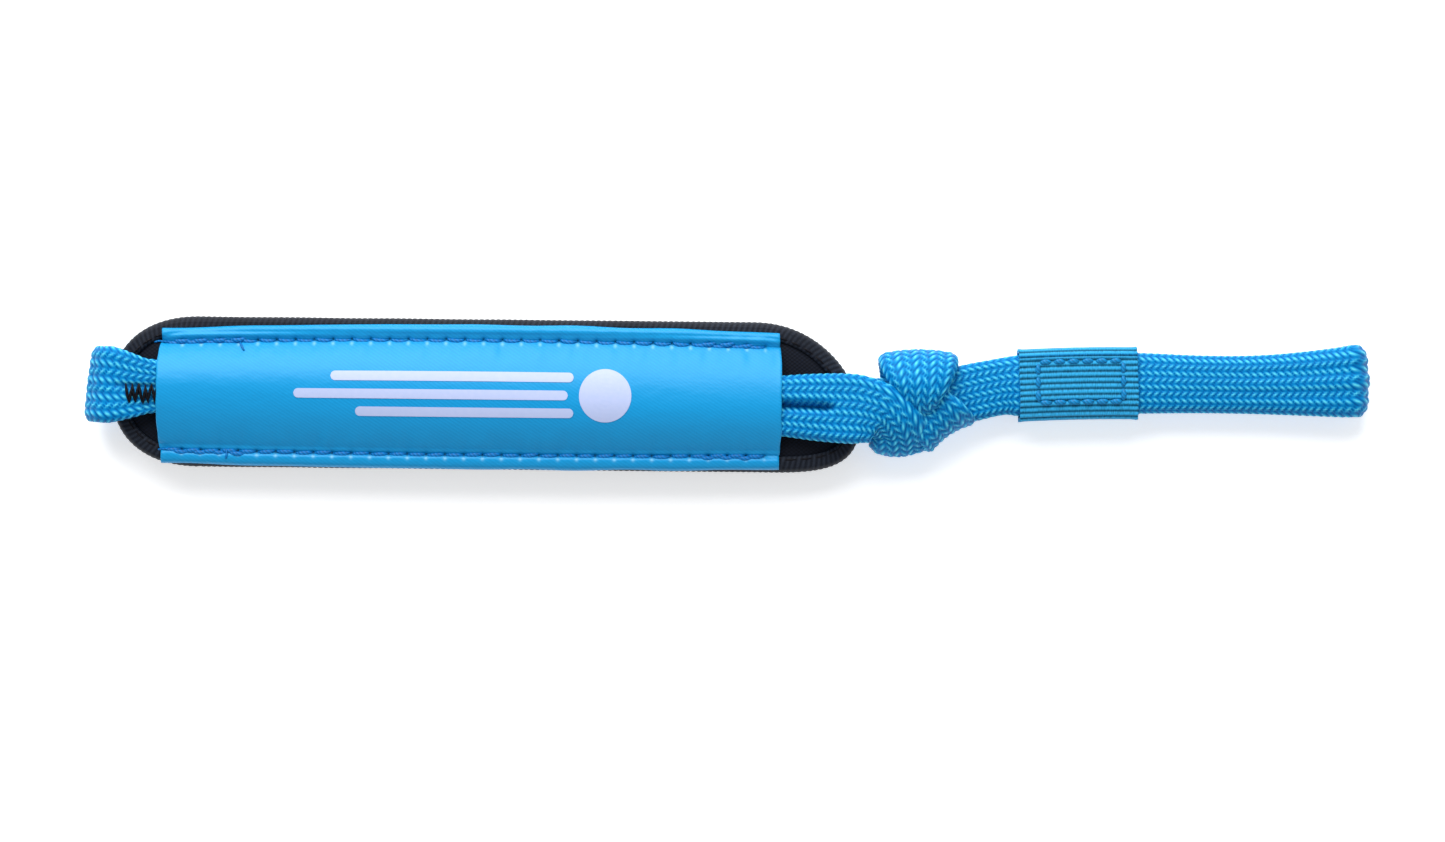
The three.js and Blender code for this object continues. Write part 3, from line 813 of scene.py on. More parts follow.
def make_binding(settings):
    """Ribbed tape folded round the cuff's edge, from the front cover to the back cover."""
    line, length = closed_outline(1500)
    count = int(length[-1] / TAPE_SAMPLE)
    stops = np.arange(count) * length[-1] / count
    place = sampled(stops, length, line)
    ahead = np.roll(place, -1, 0) - np.roll(place, 1, 0)
    ahead /= np.linalg.norm(ahead, axis=1, keepdims=True)
    out = np.stack([ahead[:, 1], -ahead[:, 0]], 1)
    lip = settings.lip / MM
    turn = np.linspace(math.pi / 2, -math.pi / 2, 9)
    upper = np.linspace(lip, TAPE_FOLD, 6)
    section = [(-i, 1.0, 0.0) for i in upper]
    section += [(TAPE_FOLD * (math.cos(a) - 1), math.sin(a), math.cos(a)) for a in turn]
    section += [(-i, -1.0, 0.0) for i in upper[::-1]]
    outside, inside, tops = [], [], []
    pitch = settings.rib_pitch / MM
    for inset, lift, outward_share in section:
        spot = place + out * inset
        swell = pad_swell(spot[:, 0], spot[:, 1]) + TAPE * 0.9
        lifted = PAD_MIDDLE + swell * lift
        slant = stops / pitch + inset * 0.35 - lift * 0.4
        ridge = np.abs(np.sin(math.pi * slant))
        tops.append(ridge**2)
        edge = ramp(-inset, lip, lip - 0.5)
        grow = TAPE_RIB * (ridge - 0.5) * edge + 0.03 * ripple(stops, 9, 13.0)
        away = spot + out * (grow * outward_share)[:, None]
        outside.append(in_pad(away[:, 0], away[:, 1], lifted + grow * lift))
        thin = TAPE * (0.9 if inset < -lip + 0.01 else 1.0)
        back = spot - out * thin * outward_share
        inside.append(in_pad(back[:, 0], back[:, 1], lifted - thin * lift * np.ones(count)))
    rows = np.stack(outside + inside[::-1], 1)
    ring = rows.shape[1]
    faces = grid_faces(count, ring, wrap=True)
    last = (count - 1) * ring
    faces += [[last + a, last + (a + 1) % ring, (a + 1) % ring, a] for a in range(ring)]
    around = np.arange(ring) * 0.4
    spots = np.stack(np.broadcast_arrays(stops[:, None], around[None, :]), -1).reshape(-1, 2)
    uv = spots[[v for face in faces for v in face]]
    rib = np.stack(tops + tops[::-1], 1)
    return outward(make_mesh("cuff_edge_binding", rows, faces, uv, {"rib": rib}))


def knit_material(name, settings, scale):
    """Matt black knitted lining: small loops in rows, with a little lint."""
    n = Nodes(name)
    cloth = n.cloth_map()
    split = n.add("SeparateXYZ", {0: cloth})
    wales = n.math("SINE", n.times(split.outputs[0], 2 * math.pi * scale))
    rows = n.math("SINE", n.times(split.outputs[1], 2 * math.pi * scale * 1.3))
    loops = n.times(wales, rows)
    lint = n.noise(n.place(), 900.0, 4.0)
    tone = n.times(n.plus(loops, lint), 0.5, clamp=True)
    base = tuple(settings.colour)
    n.set(
        base_color=n.mix(tone, rgba(base, 0.7), rgba(base, 1.9)),
        roughness=n.plus(0.62, n.times(lint, 0.2)),
        specular_ior_level=0.12,
        normal=n.bump(n.plus(loops, n.times(lint, 0.8)), 0.5, 0.00005),
    )
    return n.material


def tape_material(settings):
    """Black ribbed tape: a soft shine along the ribs, and a patchy painted highlight in grey-blue on the
    rib tops.
    """
    n = Nodes("black binding tape")
    cloth = n.cloth_map()
    weave = n.noise(n.stretch(cloth, (9.0, 2.0, 1.0)), 1.0, 2.0)
    highlight_patches = n.noise(n.place(), 120.0, 3.0)
    base = tuple(settings.colour)
    # Painted highlight: a grey-blue for the tops of the ribs, where light catches them.
    rib_highlight = rgba(mixed(base, (0.11, 0.14, 0.20), 0.42))
    rib = n.attribute("rib")
    # Share of the painted highlight: the rib tops, in patches.
    rib_highlight_share = n.times(n.times(rib, weave), n.plus(highlight_patches, 0.2), clamp=True)
    n.set(
        base_color=n.mix(rib_highlight_share, rgba(base, 0.8), rib_highlight),
        roughness=n.plus(0.48, n.times(weave, 0.2)),
        specular_ior_level=0.12,
        normal=n.bump(weave, 0.35, 0.00004),
    )
    return n.material


def foam_material():
    """Dark closed-cell foam, with its cells."""
    n = Nodes("closed-cell foam")
    cells = n.add("TexVoronoi", {"Vector": n.place(), "Scale": 2600.0}).outputs["Distance"]
    n.set(
        base_color=n.mix(cells, (0.012, 0.012, 0.014, 1.0), (0.035, 0.036, 0.04, 1.0)),
        roughness=0.92,
        normal=n.bump(cells, 0.5, 0.0001),
    )
    return n.material


def make_cuff(settings):
    """The cuff's two covers, its foam and its binding."""
    knit = knit_material("black knit", settings, 1.25)
    front = cuff_layer("cuff_front_cover", 0.74, 1.0, COVER_SHARE)
    back = cuff_layer("cuff_back_cover", -1.0, -0.74, COVER_SHARE)
    foam = cuff_layer("cuff_foam", -0.72, 0.72, 0.94)
    finish_piece(front, "pad", knit, ("pad_front_cover",))
    finish_piece(back, "pad", knit, ("pad_back_cover",))
    finish_piece(foam, "pad", foam_material(), ("pad_foam_core",))
    binding = make_binding(settings)
    finish_piece(binding, "pad", tape_material(settings), ("pad_edge_binding",))


# ------------------------------------------------------------------ stitches


def stitch_shape(length, width, height, sag=0.0):
    """One stitch along X: a rounded thread whose ends go down into the cloth, bowed sideways by sag."""
    bpy.ops.mesh.primitive_uv_sphere_add(segments=10, ring_count=8, radius=0.5 * MM)
    stitch = bpy.context.object
    edit(
        stitch,
        lambda: bpy.ops.transform.rotate(
            value=math.pi / 2, orient_axis="Y", orient_type="GLOBAL", center_override=(0.0, 0.0, 0.0)
        ),
        lambda: bpy.ops.transform.resize(value=(length, width, height), center_override=(0.0, 0.0, 0.0)),
    )
    for vertex in stitch.data.vertices:
        share = vertex.co.x / (length * 0.5 * MM)
        vertex.co.z -= 0.55 * height * MM * share**4
        vertex.co.y *= 1 + 0.25 * (1 - share**2)
        vertex.co.y -= sag * MM * (1 - share**2)
    stitch.data.update()
    return stitch


def sew(name, stitch, places):
    """Copies a stitch to places, each a point, the way it runs and the way out, as one piece."""
    copies = []
    for place, ahead, out in places:
        copy = stitch.copy()
        copy.data = stitch.data.copy()
        bpy.context.scene.collection.objects.link(copy)
        ahead = unit(ahead)
        out = unit(np.asarray(out, float) - np.dot(out, ahead) * ahead)
        side = np.cross(out, ahead)
        turn = np.eye(4)
        turn[:3] = np.stack([ahead, side, out, np.asarray(place) * MM], 1)
        copy.data.transform(Matrix(turn.tolist()))
        copies.append(copy)
    bpy.data.objects.remove(stitch)
    piece = joined(name, copies)
    bpy.ops.object.shade_smooth()
    return piece


def thread_material(name, colour, shine):
    """Twisted sewing thread."""
    n = Nodes(name)
    inputs = {"Vector": n.place(), "Scale": 900.0, "Distortion": 1.5}
    twist = n.add("TexWave", inputs, bands_direction="DIAGONAL").outputs["Fac"]
    n.set(
        base_color=n.mix(n.times(twist, 0.8), rgba(colour, 0.8), rgba(colour, 1.3)),
        roughness=0.42,
        specular_ior_level=shine,
        normal=n.bump(twist, 0.6, 0.00005),
    )
    return n.material


# ------------------------------------------------------------------ the satin sleeve


SLEEVE_Y = -0.6  # its centre line, from the cuff's
SEAM_Y = 9.0  # its seams, either side of that
HEM_Y = (SLEEVE_HIGH[1] - SLEEVE_LOW[1]) / 2 - 0.5
SLEEVE_LEFT = SLEEVE_LOW[0] - PAD_CENTRE[0] + 0.3
SLEEVE_RIGHT = SLEEVE_HIGH[0] - PAD_CENTRE[0] - 0.1
TUNNEL_TOP = SLEEVE_HIGH[2] - 0.25
FIRST_HOLE = SLEEVE_LEFT + 0.3


def cord_offset(x):
    """Where the cord's centre line lies across the sleeve, x along the cuff."""
    world = PAD_CENTRE[0] + x
    return along(world, WRIST_LINE) - (PAD_CENTRE[1] + x * PAD_DIR[1]) - SLEEVE_Y


def across_sleeve(x, y):
    """The place across the cuff of a place across the sleeve, which is widest in its middle."""
    y = np.asarray(y, float)
    middle = 1 - (np.asarray(x, float) / 50) ** 2
    spread = np.where(y > 0, 1.0 * middle - 0.5, 0.5 * middle - 0.3)
    return y + SLEEVE_Y + spread * y / HEM_Y


def hole_distance(x, pitch):
    """How far x is from the nearest needle hole along a seam."""
    beat = (x - FIRST_HOLE) / pitch
    return np.abs(beat - np.round(beat)) * pitch


def sleeve_height(x, y, pitch):
    """The satin's upper face, x along the cuff and y across the sleeve."""
    x, y = np.broadcast_arrays(np.asarray(x, float), np.asarray(y, float))
    base = pad_top(x, across_sleeve(x, y)) + 0.42 + TAPE * ramp(np.abs(y + SLEEVE_Y), 8.6, 9.6)
    offset = cord_offset(x)
    side = np.where(y > offset, 1.0, -1.0)
    spread = np.clip(np.abs(y - offset) / (SEAM_Y - side * offset), 0, 1)
    rise = (1.02 - np.sqrt(spread**2 + 0.0404)) / 0.70  # straight from the seam to the cord's edge
    arch = rise / (1 + np.abs(rise) ** 3) ** (1 / 3) * 1.175
    crown = TUNNEL_TOP + 0.06 * ripple(x, 21, 16.0)
    tunnel = base + (crown - base) * arch
    flank = np.exp(-(((np.abs(y) - 7.2) / 1.5) ** 2))
    tunnel += flank * (0.11 * ripple(x + 3 * side, 5, 3.6) + 0.12 * ripple(x, 6, 9.0))
    out = np.clip((np.abs(y) - SEAM_Y) / (HEM_Y - SEAM_Y), 0, 1)
    hem = base + 0.34 * np.sin(math.pi * out**0.8) ** 0.6
    hem += 0.07 * ripple(x + 5 * side, 8, 4.0) * np.sin(math.pi * out)
    hem -= 0.42 * ramp(out, 0.9, 1.0)
    z = np.where(np.abs(y) > SEAM_Y, hem, tunnel)
    from_hole = hole_distance(x, pitch)
    from_seam = np.abs(y) - SEAM_Y
    z -= 0.10 * np.exp(-((from_seam / 0.5) ** 2))
    z -= 0.20 * np.exp(-((from_hole / 0.40) ** 2) - (from_seam / 0.40) ** 2)
    z -= 0.10 * np.exp(-((from_hole / 0.9) ** 2) - (from_seam / 1.6) ** 2)
    return z


def sleeve_ends(y):
    """The cut ends of the satin: the tunnel stands out past the hems, and the edges wander a little."""
    bulge = np.clip(1 - (np.abs(y) / SEAM_Y) ** 6, 0, 1) ** 0.5
    left = SLEEVE_LEFT - 0.5 * bulge + 0.12 * ripple(y, 31, 5.0)
    right = SLEEVE_RIGHT + 0.35 * bulge + 0.12 * ripple(y, 32, 5.0)
    return left, right


def make_sleeve(settings):
    """The satin, with more rows of points at its seams and more columns at the needle holes."""
    pitch = settings.stitch_pitch / MM
    at_seams = [side * np.linspace(SEAM_Y - 1.55, SEAM_Y + 1.55, 32) for side in (-1, 1)]
    y = np.sort(np.concatenate([np.linspace(-HEM_Y, HEM_Y, 59), *at_seams]))[:, None]
    share = np.linspace(0, 1, 396)[None, :]
    edge = 0.16 * ripple(share * 100, 33, 14.0)
    left, right = sleeve_ends(y)
    x = left + (right - left) * share
    gather = np.sin(2 * math.pi * (x - FIRST_HOLE) / pitch) * pitch / (2 * math.pi)
    near_end = np.minimum(x - left, right - x)
    x = x - 0.45 * gather * ramp(near_end, 0.3, 3.0)
    y = y + edge * np.sign(y) * ramp(np.abs(y), 10.0, HEM_Y)
    z = sleeve_height(x, y, pitch)
    z = z + 0.10 * np.exp(-((near_end / 0.6) ** 2)) - 0.12 * np.exp(-((near_end / 0.18) ** 2))
    thick = 0.30 + 0.14 * np.exp(-((near_end / 1.1) ** 4))
    across = across_sleeve(x, y)
    bottom = np.minimum(np.maximum(z - thick, pad_top(x, across) + 0.03), z - 0.06)
    upper = in_pad(x, across, z)
    lower = in_pad(x, across, bottom)
    uv = np.stack(np.broadcast_arrays(x, y), -1)
    from_hole = hole_distance(x, pitch)
    # Painted shade in each needle hole, and a painted highlight (the gleam) just beside it.
    hole_shade = np.exp(-((from_hole / 0.20) ** 2) - ((np.abs(y) - SEAM_Y - 0.05) / 0.26) ** 2)
    gleam = np.exp(-((from_hole / 0.26) ** 2) - ((y + 0.62 - SEAM_Y * np.sign(y)) / 0.3) ** 2)
    inner = ramp(near_end, 1.5, 3.0)
    marks = {"hole_shade": hole_shade * inner, "gleam": gleam * inner}
    piece = cloth_shell("satin_sleeve", upper, lower, uv, marks)
    finish_piece(piece, "pad", satin_material(settings), ("sleeve_ribbon",))


def satin_material(settings):
    """Blue satin: long floats along the ribbon, a soft bright sheen, and faint creases, with painted
    shade in the needle holes and a painted highlight beside each.
    """
    n = Nodes("blue satin")
    cloth = n.cloth_map()
    floats = n.noise(n.stretch(cloth, (1.6, 11.0, 1.0)), 1.0, 3.0, 0.6)
    weave = n.noise(n.stretch(cloth, (7.0, 7.0, 1.0)), 1.0, 1.0)
    creases = n.noise(n.stretch(cloth, (0.22, 0.4, 1.0)), 1.0, 4.0, 0.55)
    split = n.add("SeparateXYZ", {0: cloth})
    slant = n.plus(n.times(split.outputs[0], 7.0), n.times(split.outputs[1], 11.0))
    twill = n.plus(0.5, n.times(n.math("SINE", slant), 0.5))
    base = tuple(settings.colour)
    tone = n.plus(n.plus(n.times(floats, 0.4), n.times(weave, 0.3)), n.times(twill, 0.3))
    colour = n.mix(tone, rgba(base, 0.84), rgba(mixed(base, (0.1, 0.7, 1.0), 0.08), 1.10))
    # Painted highlight beside each needle hole.
    gleam = n.attribute("gleam")
    colour = n.mix(n.times(gleam, 0.6), colour, rgba(mixed(base, (0.5, 0.9, 1.0), 0.6)))
    # Painted shade in each needle hole.
    hole_shade = n.attribute("hole_shade")
    colour = n.mix(n.times(hole_shade, 0.9), colour, (0.0, 0.02, 0.09, 1.0))
    n.set(
        base_color=colour,
        roughness=n.plus(0.30, n.times(floats, 0.14)),
        specular_ior_level=0.34,
        specular_tint=(0.62, 0.88, 1.0, 1.0),
        normal=n.bump(creases, 0.25, 0.0004, n.bump(tone, 0.30, 0.00003)),
    )
    return n.material


SLEEVE_SEAMS = (  # piece, node, side and how far each stitch is bowed
    ("sleeve_upper_stitches", "sleeve_upper_seam", 1, 0.34),
    ("sleeve_lower_stitches", "sleeve_lower_seam", -1, 0.14),
)


def make_sleeve_seams(settings):
    """Two rows of stitches, sewn twice over near the sleeve's ends."""
    pitch = settings.stitch_pitch / MM
    material = thread_material("blue thread", tuple(settings.thread_colour), 0.22)
    random = np.random.default_rng(11)
    starts = np.arange(FIRST_HOLE + pitch / 2, SLEEVE_RIGHT - 0.8, pitch)
    lock = [s + pitch * 0.45 for s in starts[:-1] if s < SLEEVE_LEFT + 12 or s > SLEEVE_RIGHT - 13]
    for name, node, side, bow in SLEEVE_SEAMS:
        places = []
        for i, x in enumerate([*starts, *lock]):
            second = i >= len(starts)
            y = side * (SEAM_Y + (0.28 if second else 0.0)) + random.normal(0, 0.05)
            slope = (sleeve_height(x + 1, y, pitch) - sleeve_height(x - 1, y, pitch)) / 2
            z = sleeve_height(x, y, pitch) + (0.22 if second else 0.14)
            yaw = random.normal(0, 0.03) + (0.07 if second else -0.05) * side
            ahead = PAD_DIR + PAD_SIDE * yaw + UP * slope
            places.append((in_pad(x, across_sleeve(x, y), z), ahead, UP))
        piece = sew(name, stitch_shape(pitch * 0.95, 0.66, 0.5, bow), places)
        finish_piece(piece, "pad", material, (node,))
    make_thread_ends(material, pitch)


def thread(name, points, radius):
    """A loose end of thread: a thin tube along a short curve."""
    curve = bpy.data.curves.new(name, "CURVE")
    curve.dimensions = "3D"
    curve.bevel_depth = radius * MM
    curve.bevel_resolution = 2
    curve.use_fill_caps = True
    line = curve.splines.new("NURBS")
    line.points.add(len(points) - 1)
    for spot, point in zip(line.points, points):
        spot.co = (*(np.asarray(point) * MM), 1.0)
    line.use_endpoint_u = True
    line.order_u = 3
    piece = bpy.data.objects.new(name, curve)
    bpy.context.scene.collection.objects.link(piece)
    select(piece)
    bpy.ops.object.convert(target="MESH")
    piece = bpy.context.object
    bpy.ops.object.shade_smooth()
    return piece


THREAD_ENDS = {  # from the sleeve's left end, across it, and up from the cloth
    "upper_thread_end": [(1.2, 9.0, 0.3), (0.2, 9.0, 0.35), (-0.6, 9.2, 0.1), (-1.3, 9.0, 0.0)],
    "lower_thread_end": [(1.2, -9.0, 0.3), (0, -9.0, 0.3), (-0.5, -9.1, 0.05)],
    "upper_thread_loop": [(12.6, 8.6, 0.2), (13.0, 8.0, 0.35), (13.2, 7.5, 0.25), (13.4, 7.4, 0.1)],
    "lower_thread_loop": [(10.6, -8.9, 0.3), (10.7, -9.6, 0.35), (10.5, -10.2, 0.15)],
}
THREAD_RADIUS = 0.17


def make_thread_ends(material, pitch):
    """The seams' cut thread ends and the knots' loose tails."""
    for name, points in THREAD_ENDS.items():
        spots = []
        for from_end, across, lift in points:
            x = SLEEVE_LEFT + from_end
            place = across_sleeve(x, across)
            on_satin = from_end > -0.3
            z = sleeve_height(x, across, pitch) if on_satin else pad_top(x, place) + 0.15
            spots.append(in_pad(x, place, float(z) + lift))
        piece = thread(name, spots, THREAD_RADIUS)
        finish_piece(piece, "pad", material)


BALL_X, BALL_RADIUS = 19.4, 4.2
BAR_WIDTH, BAR_STEP, BAR_GAP = 1.5, 2.8, 0.9
BAR_LENGTHS = (35.0, 44.0, 39.0)  # from the lowest to the highest
PRINT_Y = 0.5  # the print's centre line, from the sleeve's


def ink_material(settings):
    """Lilac ink, worn thin in places over the satin."""
    n = Nodes("lilac ink")
    wear = n.noise(n.place(), 1400.0, 2.0)
    ink = tuple(settings.print_colour)
    n.set(
        base_color=n.mix(n.times(wear, 0.35), rgba(ink), rgba(mixed(ink, settings.colour, 0.4))),
        roughness=0.5,
        normal=n.bump(wear, 0.3, 0.00003),
    )
    return n.material


def printed_bar(row, length):
    """One bar with round ends, its right-hand end by the ball. row is -1, 0 or 1."""
    bpy.ops.mesh.primitive_grid_add(x_subdivisions=90, y_subdivisions=6, size=1.0 * MM)
    bar = bpy.context.object
    start = BALL_X - BALL_RADIUS - (BAR_GAP * 2 if row == 0 else BAR_GAP)
    radius = BAR_WIDTH / 2
    for vertex in bar.data.vertices:
        share_x, share_y = vertex.co.x / MM, vertex.co.y / MM
        x = (share_x + 0.11 * math.sin(2 * math.pi * share_x)) * length
        past = np.clip((abs(x) - length / 2 + radius) / radius, 0, 0.995)
        vertex.co.y = (share_y * BAR_WIDTH * math.sqrt(1 - past**2) + row * BAR_STEP) * MM
        vertex.co.x = (start - length / 2 + x) * MM
    return bar


def make_print(settings):
    """A generic ornament, a ball with three trailing bars, printed on the satin."""
    pitch = settings.stitch_pitch / MM
    bpy.ops.mesh.primitive_circle_add(vertices=64, radius=BALL_RADIUS * MM, fill_type="TRIFAN")
    ball = bpy.context.object
    ball.data.transform(Matrix.Translation((BALL_X * MM, 0.0, 0.0)))
    edit(ball, lambda: bpy.ops.mesh.subdivide(number_cuts=5))
    shapes = [ball, *(printed_bar(row, length) for row, length in zip((-1, 0, 1), BAR_LENGTHS))]
    piece = joined("sleeve_ornament", shapes)
    solid = piece.modifiers.new("film", "SOLIDIFY")
    solid.thickness = settings.film
    solid.offset = 1.0
    bpy.ops.object.modifier_apply(modifier=solid.name)
    x, y, height = np.array([vertex.co for vertex in piece.data.vertices]).T / MM
    y += PRINT_Y
    z = sleeve_height(x, y, pitch) + 0.02 + height
    placed = in_pad(x, across_sleeve(x, y), z)
    piece.data.vertices.foreach_set("co", (placed * MM).ravel())
    piece.data.update()
    finish_piece(outward(piece), "pad", ink_material(settings), ("sleeve_print",))


BINDING_STITCH = 2.6  # from one stitch of the binding to the next
BINDING_SEAM = 2.05  # from the cuff's rim to the stitches
BLACK_THREAD = (0.004, 0.004, 0.007)


def make_binding_seam():
    """The small stitches that hold the binding, just inside its lip."""
    line, length = closed_outline(900)
    count = int(length[-1] / BINDING_STITCH)
    places = []
    for i in range(count):
        stop = (i + 0.5) * length[-1] / count
        spot = sampled(stop, length, line)
        ahead = unit(sampled(stop + 0.2, length, line) - spot)
        spot = spot - np.array([ahead[1], -ahead[0]]) * BINDING_SEAM
        if SLEEVE_LEFT + 1.5 < spot[0] < SLEEVE_RIGHT - 1.5:
            continue  # the sleeve's own seams hold the binding there
        z = pad_top(*spot) + TAPE * 0.9 + 0.02
        places.append((in_pad(*spot, z), ahead[0] * PAD_DIR + ahead[1] * PAD_SIDE, UP))
    piece = sew("binding_stitches", stitch_shape(BINDING_STITCH * 0.8, 0.3, 0.22), places)
    material = thread_material("black thread", BLACK_THREAD, 0.12)
    finish_piece(piece, "pad", material, ("pad_binding_seam",))


# ------------------------------------------------------------------ the join in the cord


def make_tack():
    """Black zigzag stitches through the cord's overlapping ends."""
    places = []
    count, step, width = 11, 0.52, 2.9
    left = BEND_X + 1.7
    top = FRONT_HIGH[2] + 0.12
    random = np.random.default_rng(4)
    for i in range(count):
        x = left + (i + 0.5) * step + random.normal(0, 0.06)
        y = float(along(x, WRIST_LINE)) - 1.1 + random.normal(0, 0.14)
        turn = 1 if i % 2 else -1
        ahead = np.array([step, turn * width * random.uniform(0.8, 1.15), 0.0])
        places.append(((x, y, top + 0.02 * turn), ahead, UP))
    piece = sew("cord_join_stitches", stitch_shape(width * 1.1, 0.4, 0.5), places)
    material = thread_material("black tacking thread", BLACK_THREAD, 0.12)
    finish_piece(piece, "wrist_loop", material, ("cord_join_tack",))


# ------------------------------------------------------------------ the ribbon keeper


KEEPER_LEFT = KEEPER_LOW[0] - HINGE[0] + 0.45
KEEPER_WIDTH = KEEPER_HIGH[0] - KEEPER_LOW[0] - 1.1
KEEPER_HALF = 5.75  # of its outside, across
KEEPER_DEEP = 3.30  # and up
RIBBON = 0.55  # its thickness
LAP_STEP = RIBBON * 0.96  # how far its outer end lies above its inner one
KEEPER_CORNER = 1.25
RIBBON_END = 4.35  # where its outer end is, across


def keeper_path():
    """The ribbon's way round the doubled cord, from its inner end to its outer one, in Y and Z."""
    y, z = KEEPER_HALF - KEEPER_CORNER, KEEPER_DEEP - KEEPER_CORNER
    low, high = KEEPER_DEEP, KEEPER_DEEP + LAP_STEP
    points = [(-3.0, low - 0.02), (0.8, low), (y, low)]
    for side, rise, start in ((1, 1, 90), (1, -1, 0), (-1, -1, -90), (-1, 1, -180)):
        for k in range(9):
            angle = math.radians(start - 90 * k / 8)
            across = side * y + KEEPER_CORNER * math.cos(angle)
            points.append((across, rise * z + KEEPER_CORNER * math.sin(angle)))
    points += [(-4.0, low + 0.06), (-3.2, low + LAP_STEP * 0.75), (-2.0, high)]
    points += [(1.5, high + 0.04), (RIBBON_END, high - 0.02)]
    points = np.array(points)
    return points, run_length(points)


def make_keeper(settings):
    """The ribbon round the doubled cord, with its ribs, its selvedges and its lapped ends."""
    points, length = keeper_path()
    pitch = settings.rib_pitch / MM
    rows = int(length[-1] / pitch * 8)
    stops = np.linspace(0, length[-1], rows)
    line = sampled(stops, length, points)
    kernel = np.hanning(9)[1:-1]
    kernel /= kernel.sum()
    padded = np.pad(line, ((3, 3), (0, 0)), mode="edge")
    line = np.stack([np.convolve(column, kernel, mode="valid") for column in padded.T], 1)
    ahead = np.gradient(line, axis=0)
    ahead /= np.linalg.norm(ahead, axis=1, keepdims=True)
    out = np.stack([-ahead[:, 1], ahead[:, 0]], 1)
    out *= np.sign((line * out).sum(1, keepdims=True))
    share = np.linspace(0, 1, 90)[None, :]
    rib = np.abs(np.sin(math.pi * stops / pitch)) ** 0.7
    edge_distance = np.minimum(share, 1 - share) * KEEPER_WIDTH
    selvedge = np.exp(-((edge_distance / 0.45) ** 2))
    height = settings.rib_height / MM
    lift = (rib[:, None] - 0.6) * height * (1 + 0.6 * selvedge)
    lift = lift + 0.03 * selvedge + 0.03 * np.sin(share * 37) * ripple(stops, 41, 3.0)[:, None]
    x = KEEPER_LEFT + share * KEEPER_WIDTH + (0.12 * rib[:, None] - 0.06) * (share * 2 - 1) ** 9
    x = x + 0.08 * ripple(stops, 43, 9.0)[:, None]
    box_dent = keeper_dent(x, stops[:, None] - length[-1])
    outer = line[:, None, :] + out[:, None, :] * (lift - box_dent)[..., None]
    inner = line[:, None, :] - out[:, None, :] * (RIBBON - 0.03 - lift * 0.3)[..., None]
    sway = tail_sway(x)
    upper = in_tail(x, outer[..., 0] + sway, outer[..., 1])
    lower = in_tail(x, inner[..., 0] + sway, inner[..., 1])
    uv = np.stack(np.broadcast_arrays(x, stops[:, None] / pitch), -1)
    ribs = {"rib": np.broadcast_to(rib[:, None], x.shape)}
    piece = cloth_shell("ribbon_keeper", upper, lower, uv, ribs)
    finish_piece(piece, "keeper", grosgrain_material(settings), ("keeper_ribbon",))


BOX_X = (3.0, 16.6)  # the box of stitches, from the keeper's edge
BOX_Y = (-2.9, 3.5)


def keeper_dent(x, from_end):
    """How far the box stitches pull the ribbon in, at a place from_end past its outer end."""
    y = RIBBON_END + from_end
    local = x - KEEPER_LEFT
    side = np.minimum(np.abs(local - BOX_X[0]), np.abs(local - BOX_X[1]))
    side = side + 9 * ((y < BOX_Y[0] - 0.5) | (y > BOX_Y[1] + 0.5))
    row = np.minimum(np.abs(y - BOX_Y[0]), np.abs(y - BOX_Y[1]))
    row = row + 9 * ((local < BOX_X[0] - 0.5) | (local > BOX_X[1] + 0.5))
    return 0.14 * np.exp(-((np.minimum(side, row) / 0.45) ** 2))


def grosgrain_material(settings):
    """Ribbed ribbon: shiny rib tops with a painted highlight, over painted shade in the gaps, with fine
    warp threads across them.
    """
    n = Nodes("blue grosgrain")
    cloth = n.cloth_map()
    rib = n.attribute("rib")
    warp = n.noise(n.stretch(cloth, (5.5, 1.2, 1.0)), 1.0, 2.0)
    base = tuple(settings.colour)
    tone = n.plus(rib, n.times(n.minus(warp, 0.5), 0.9), clamp=True)
    # Painted highlight for the rib tops; the gaps between ribs get painted shade, the ribbon's colour at
    # 0.22 of its brightness.
    crest = rgba(mixed(base, (0.08, 0.60, 1.0), 0.36), 1.15)
    n.set(
        base_color=n.mix(n.math("POWER", tone, 1.8), rgba(base, 0.22), crest),
        roughness=n.plus(0.36, n.times(warp, 0.2)),
        specular_ior_level=0.24,
        specular_tint=BLUE_GLOSS,
        normal=n.bump(warp, 0.5, 0.00006),
    )
    return n.material


def make_keeper_seam(settings):
    """A box of stitches through the ribbon's lapped ends."""
    z = KEEPER_DEEP + LAP_STEP + 0.03
    places = []
    x0, x1 = (KEEPER_LEFT + v for v in BOX_X)
    y0, y1 = BOX_Y
    corners = [(x0, y0), (x1, y0), (x1, y1), (x0, y1)]
    random = np.random.default_rng(8)
    for (ax, ay), (bx, by), count in zip(corners, corners[1:] + corners[:1], (6, 3, 6, 3)):
        for i in range(count):
            share = (i + 0.5) / count
            x, y = ax + (bx - ax) * share, ay + (by - ay) * share
            ahead = (bx - ax) * TAIL_DIR + (by - ay) * TAIL_SIDE
            ahead = unit(ahead) + TAIL_SIDE * random.normal(0, 0.03) + TAIL_DIR * random.normal(0, 0.03)
            places.append((in_tail(x, y + tail_sway(x), z), ahead, UP))
    piece = sew("keeper_box_stitches", stitch_shape(2.05, 0.72, 0.5, 0.1), places)
    material = thread_material("keeper thread", tuple(settings.thread_colour), 0.22)
    finish_piece(piece, "keeper", material, ("keeper_seam",))


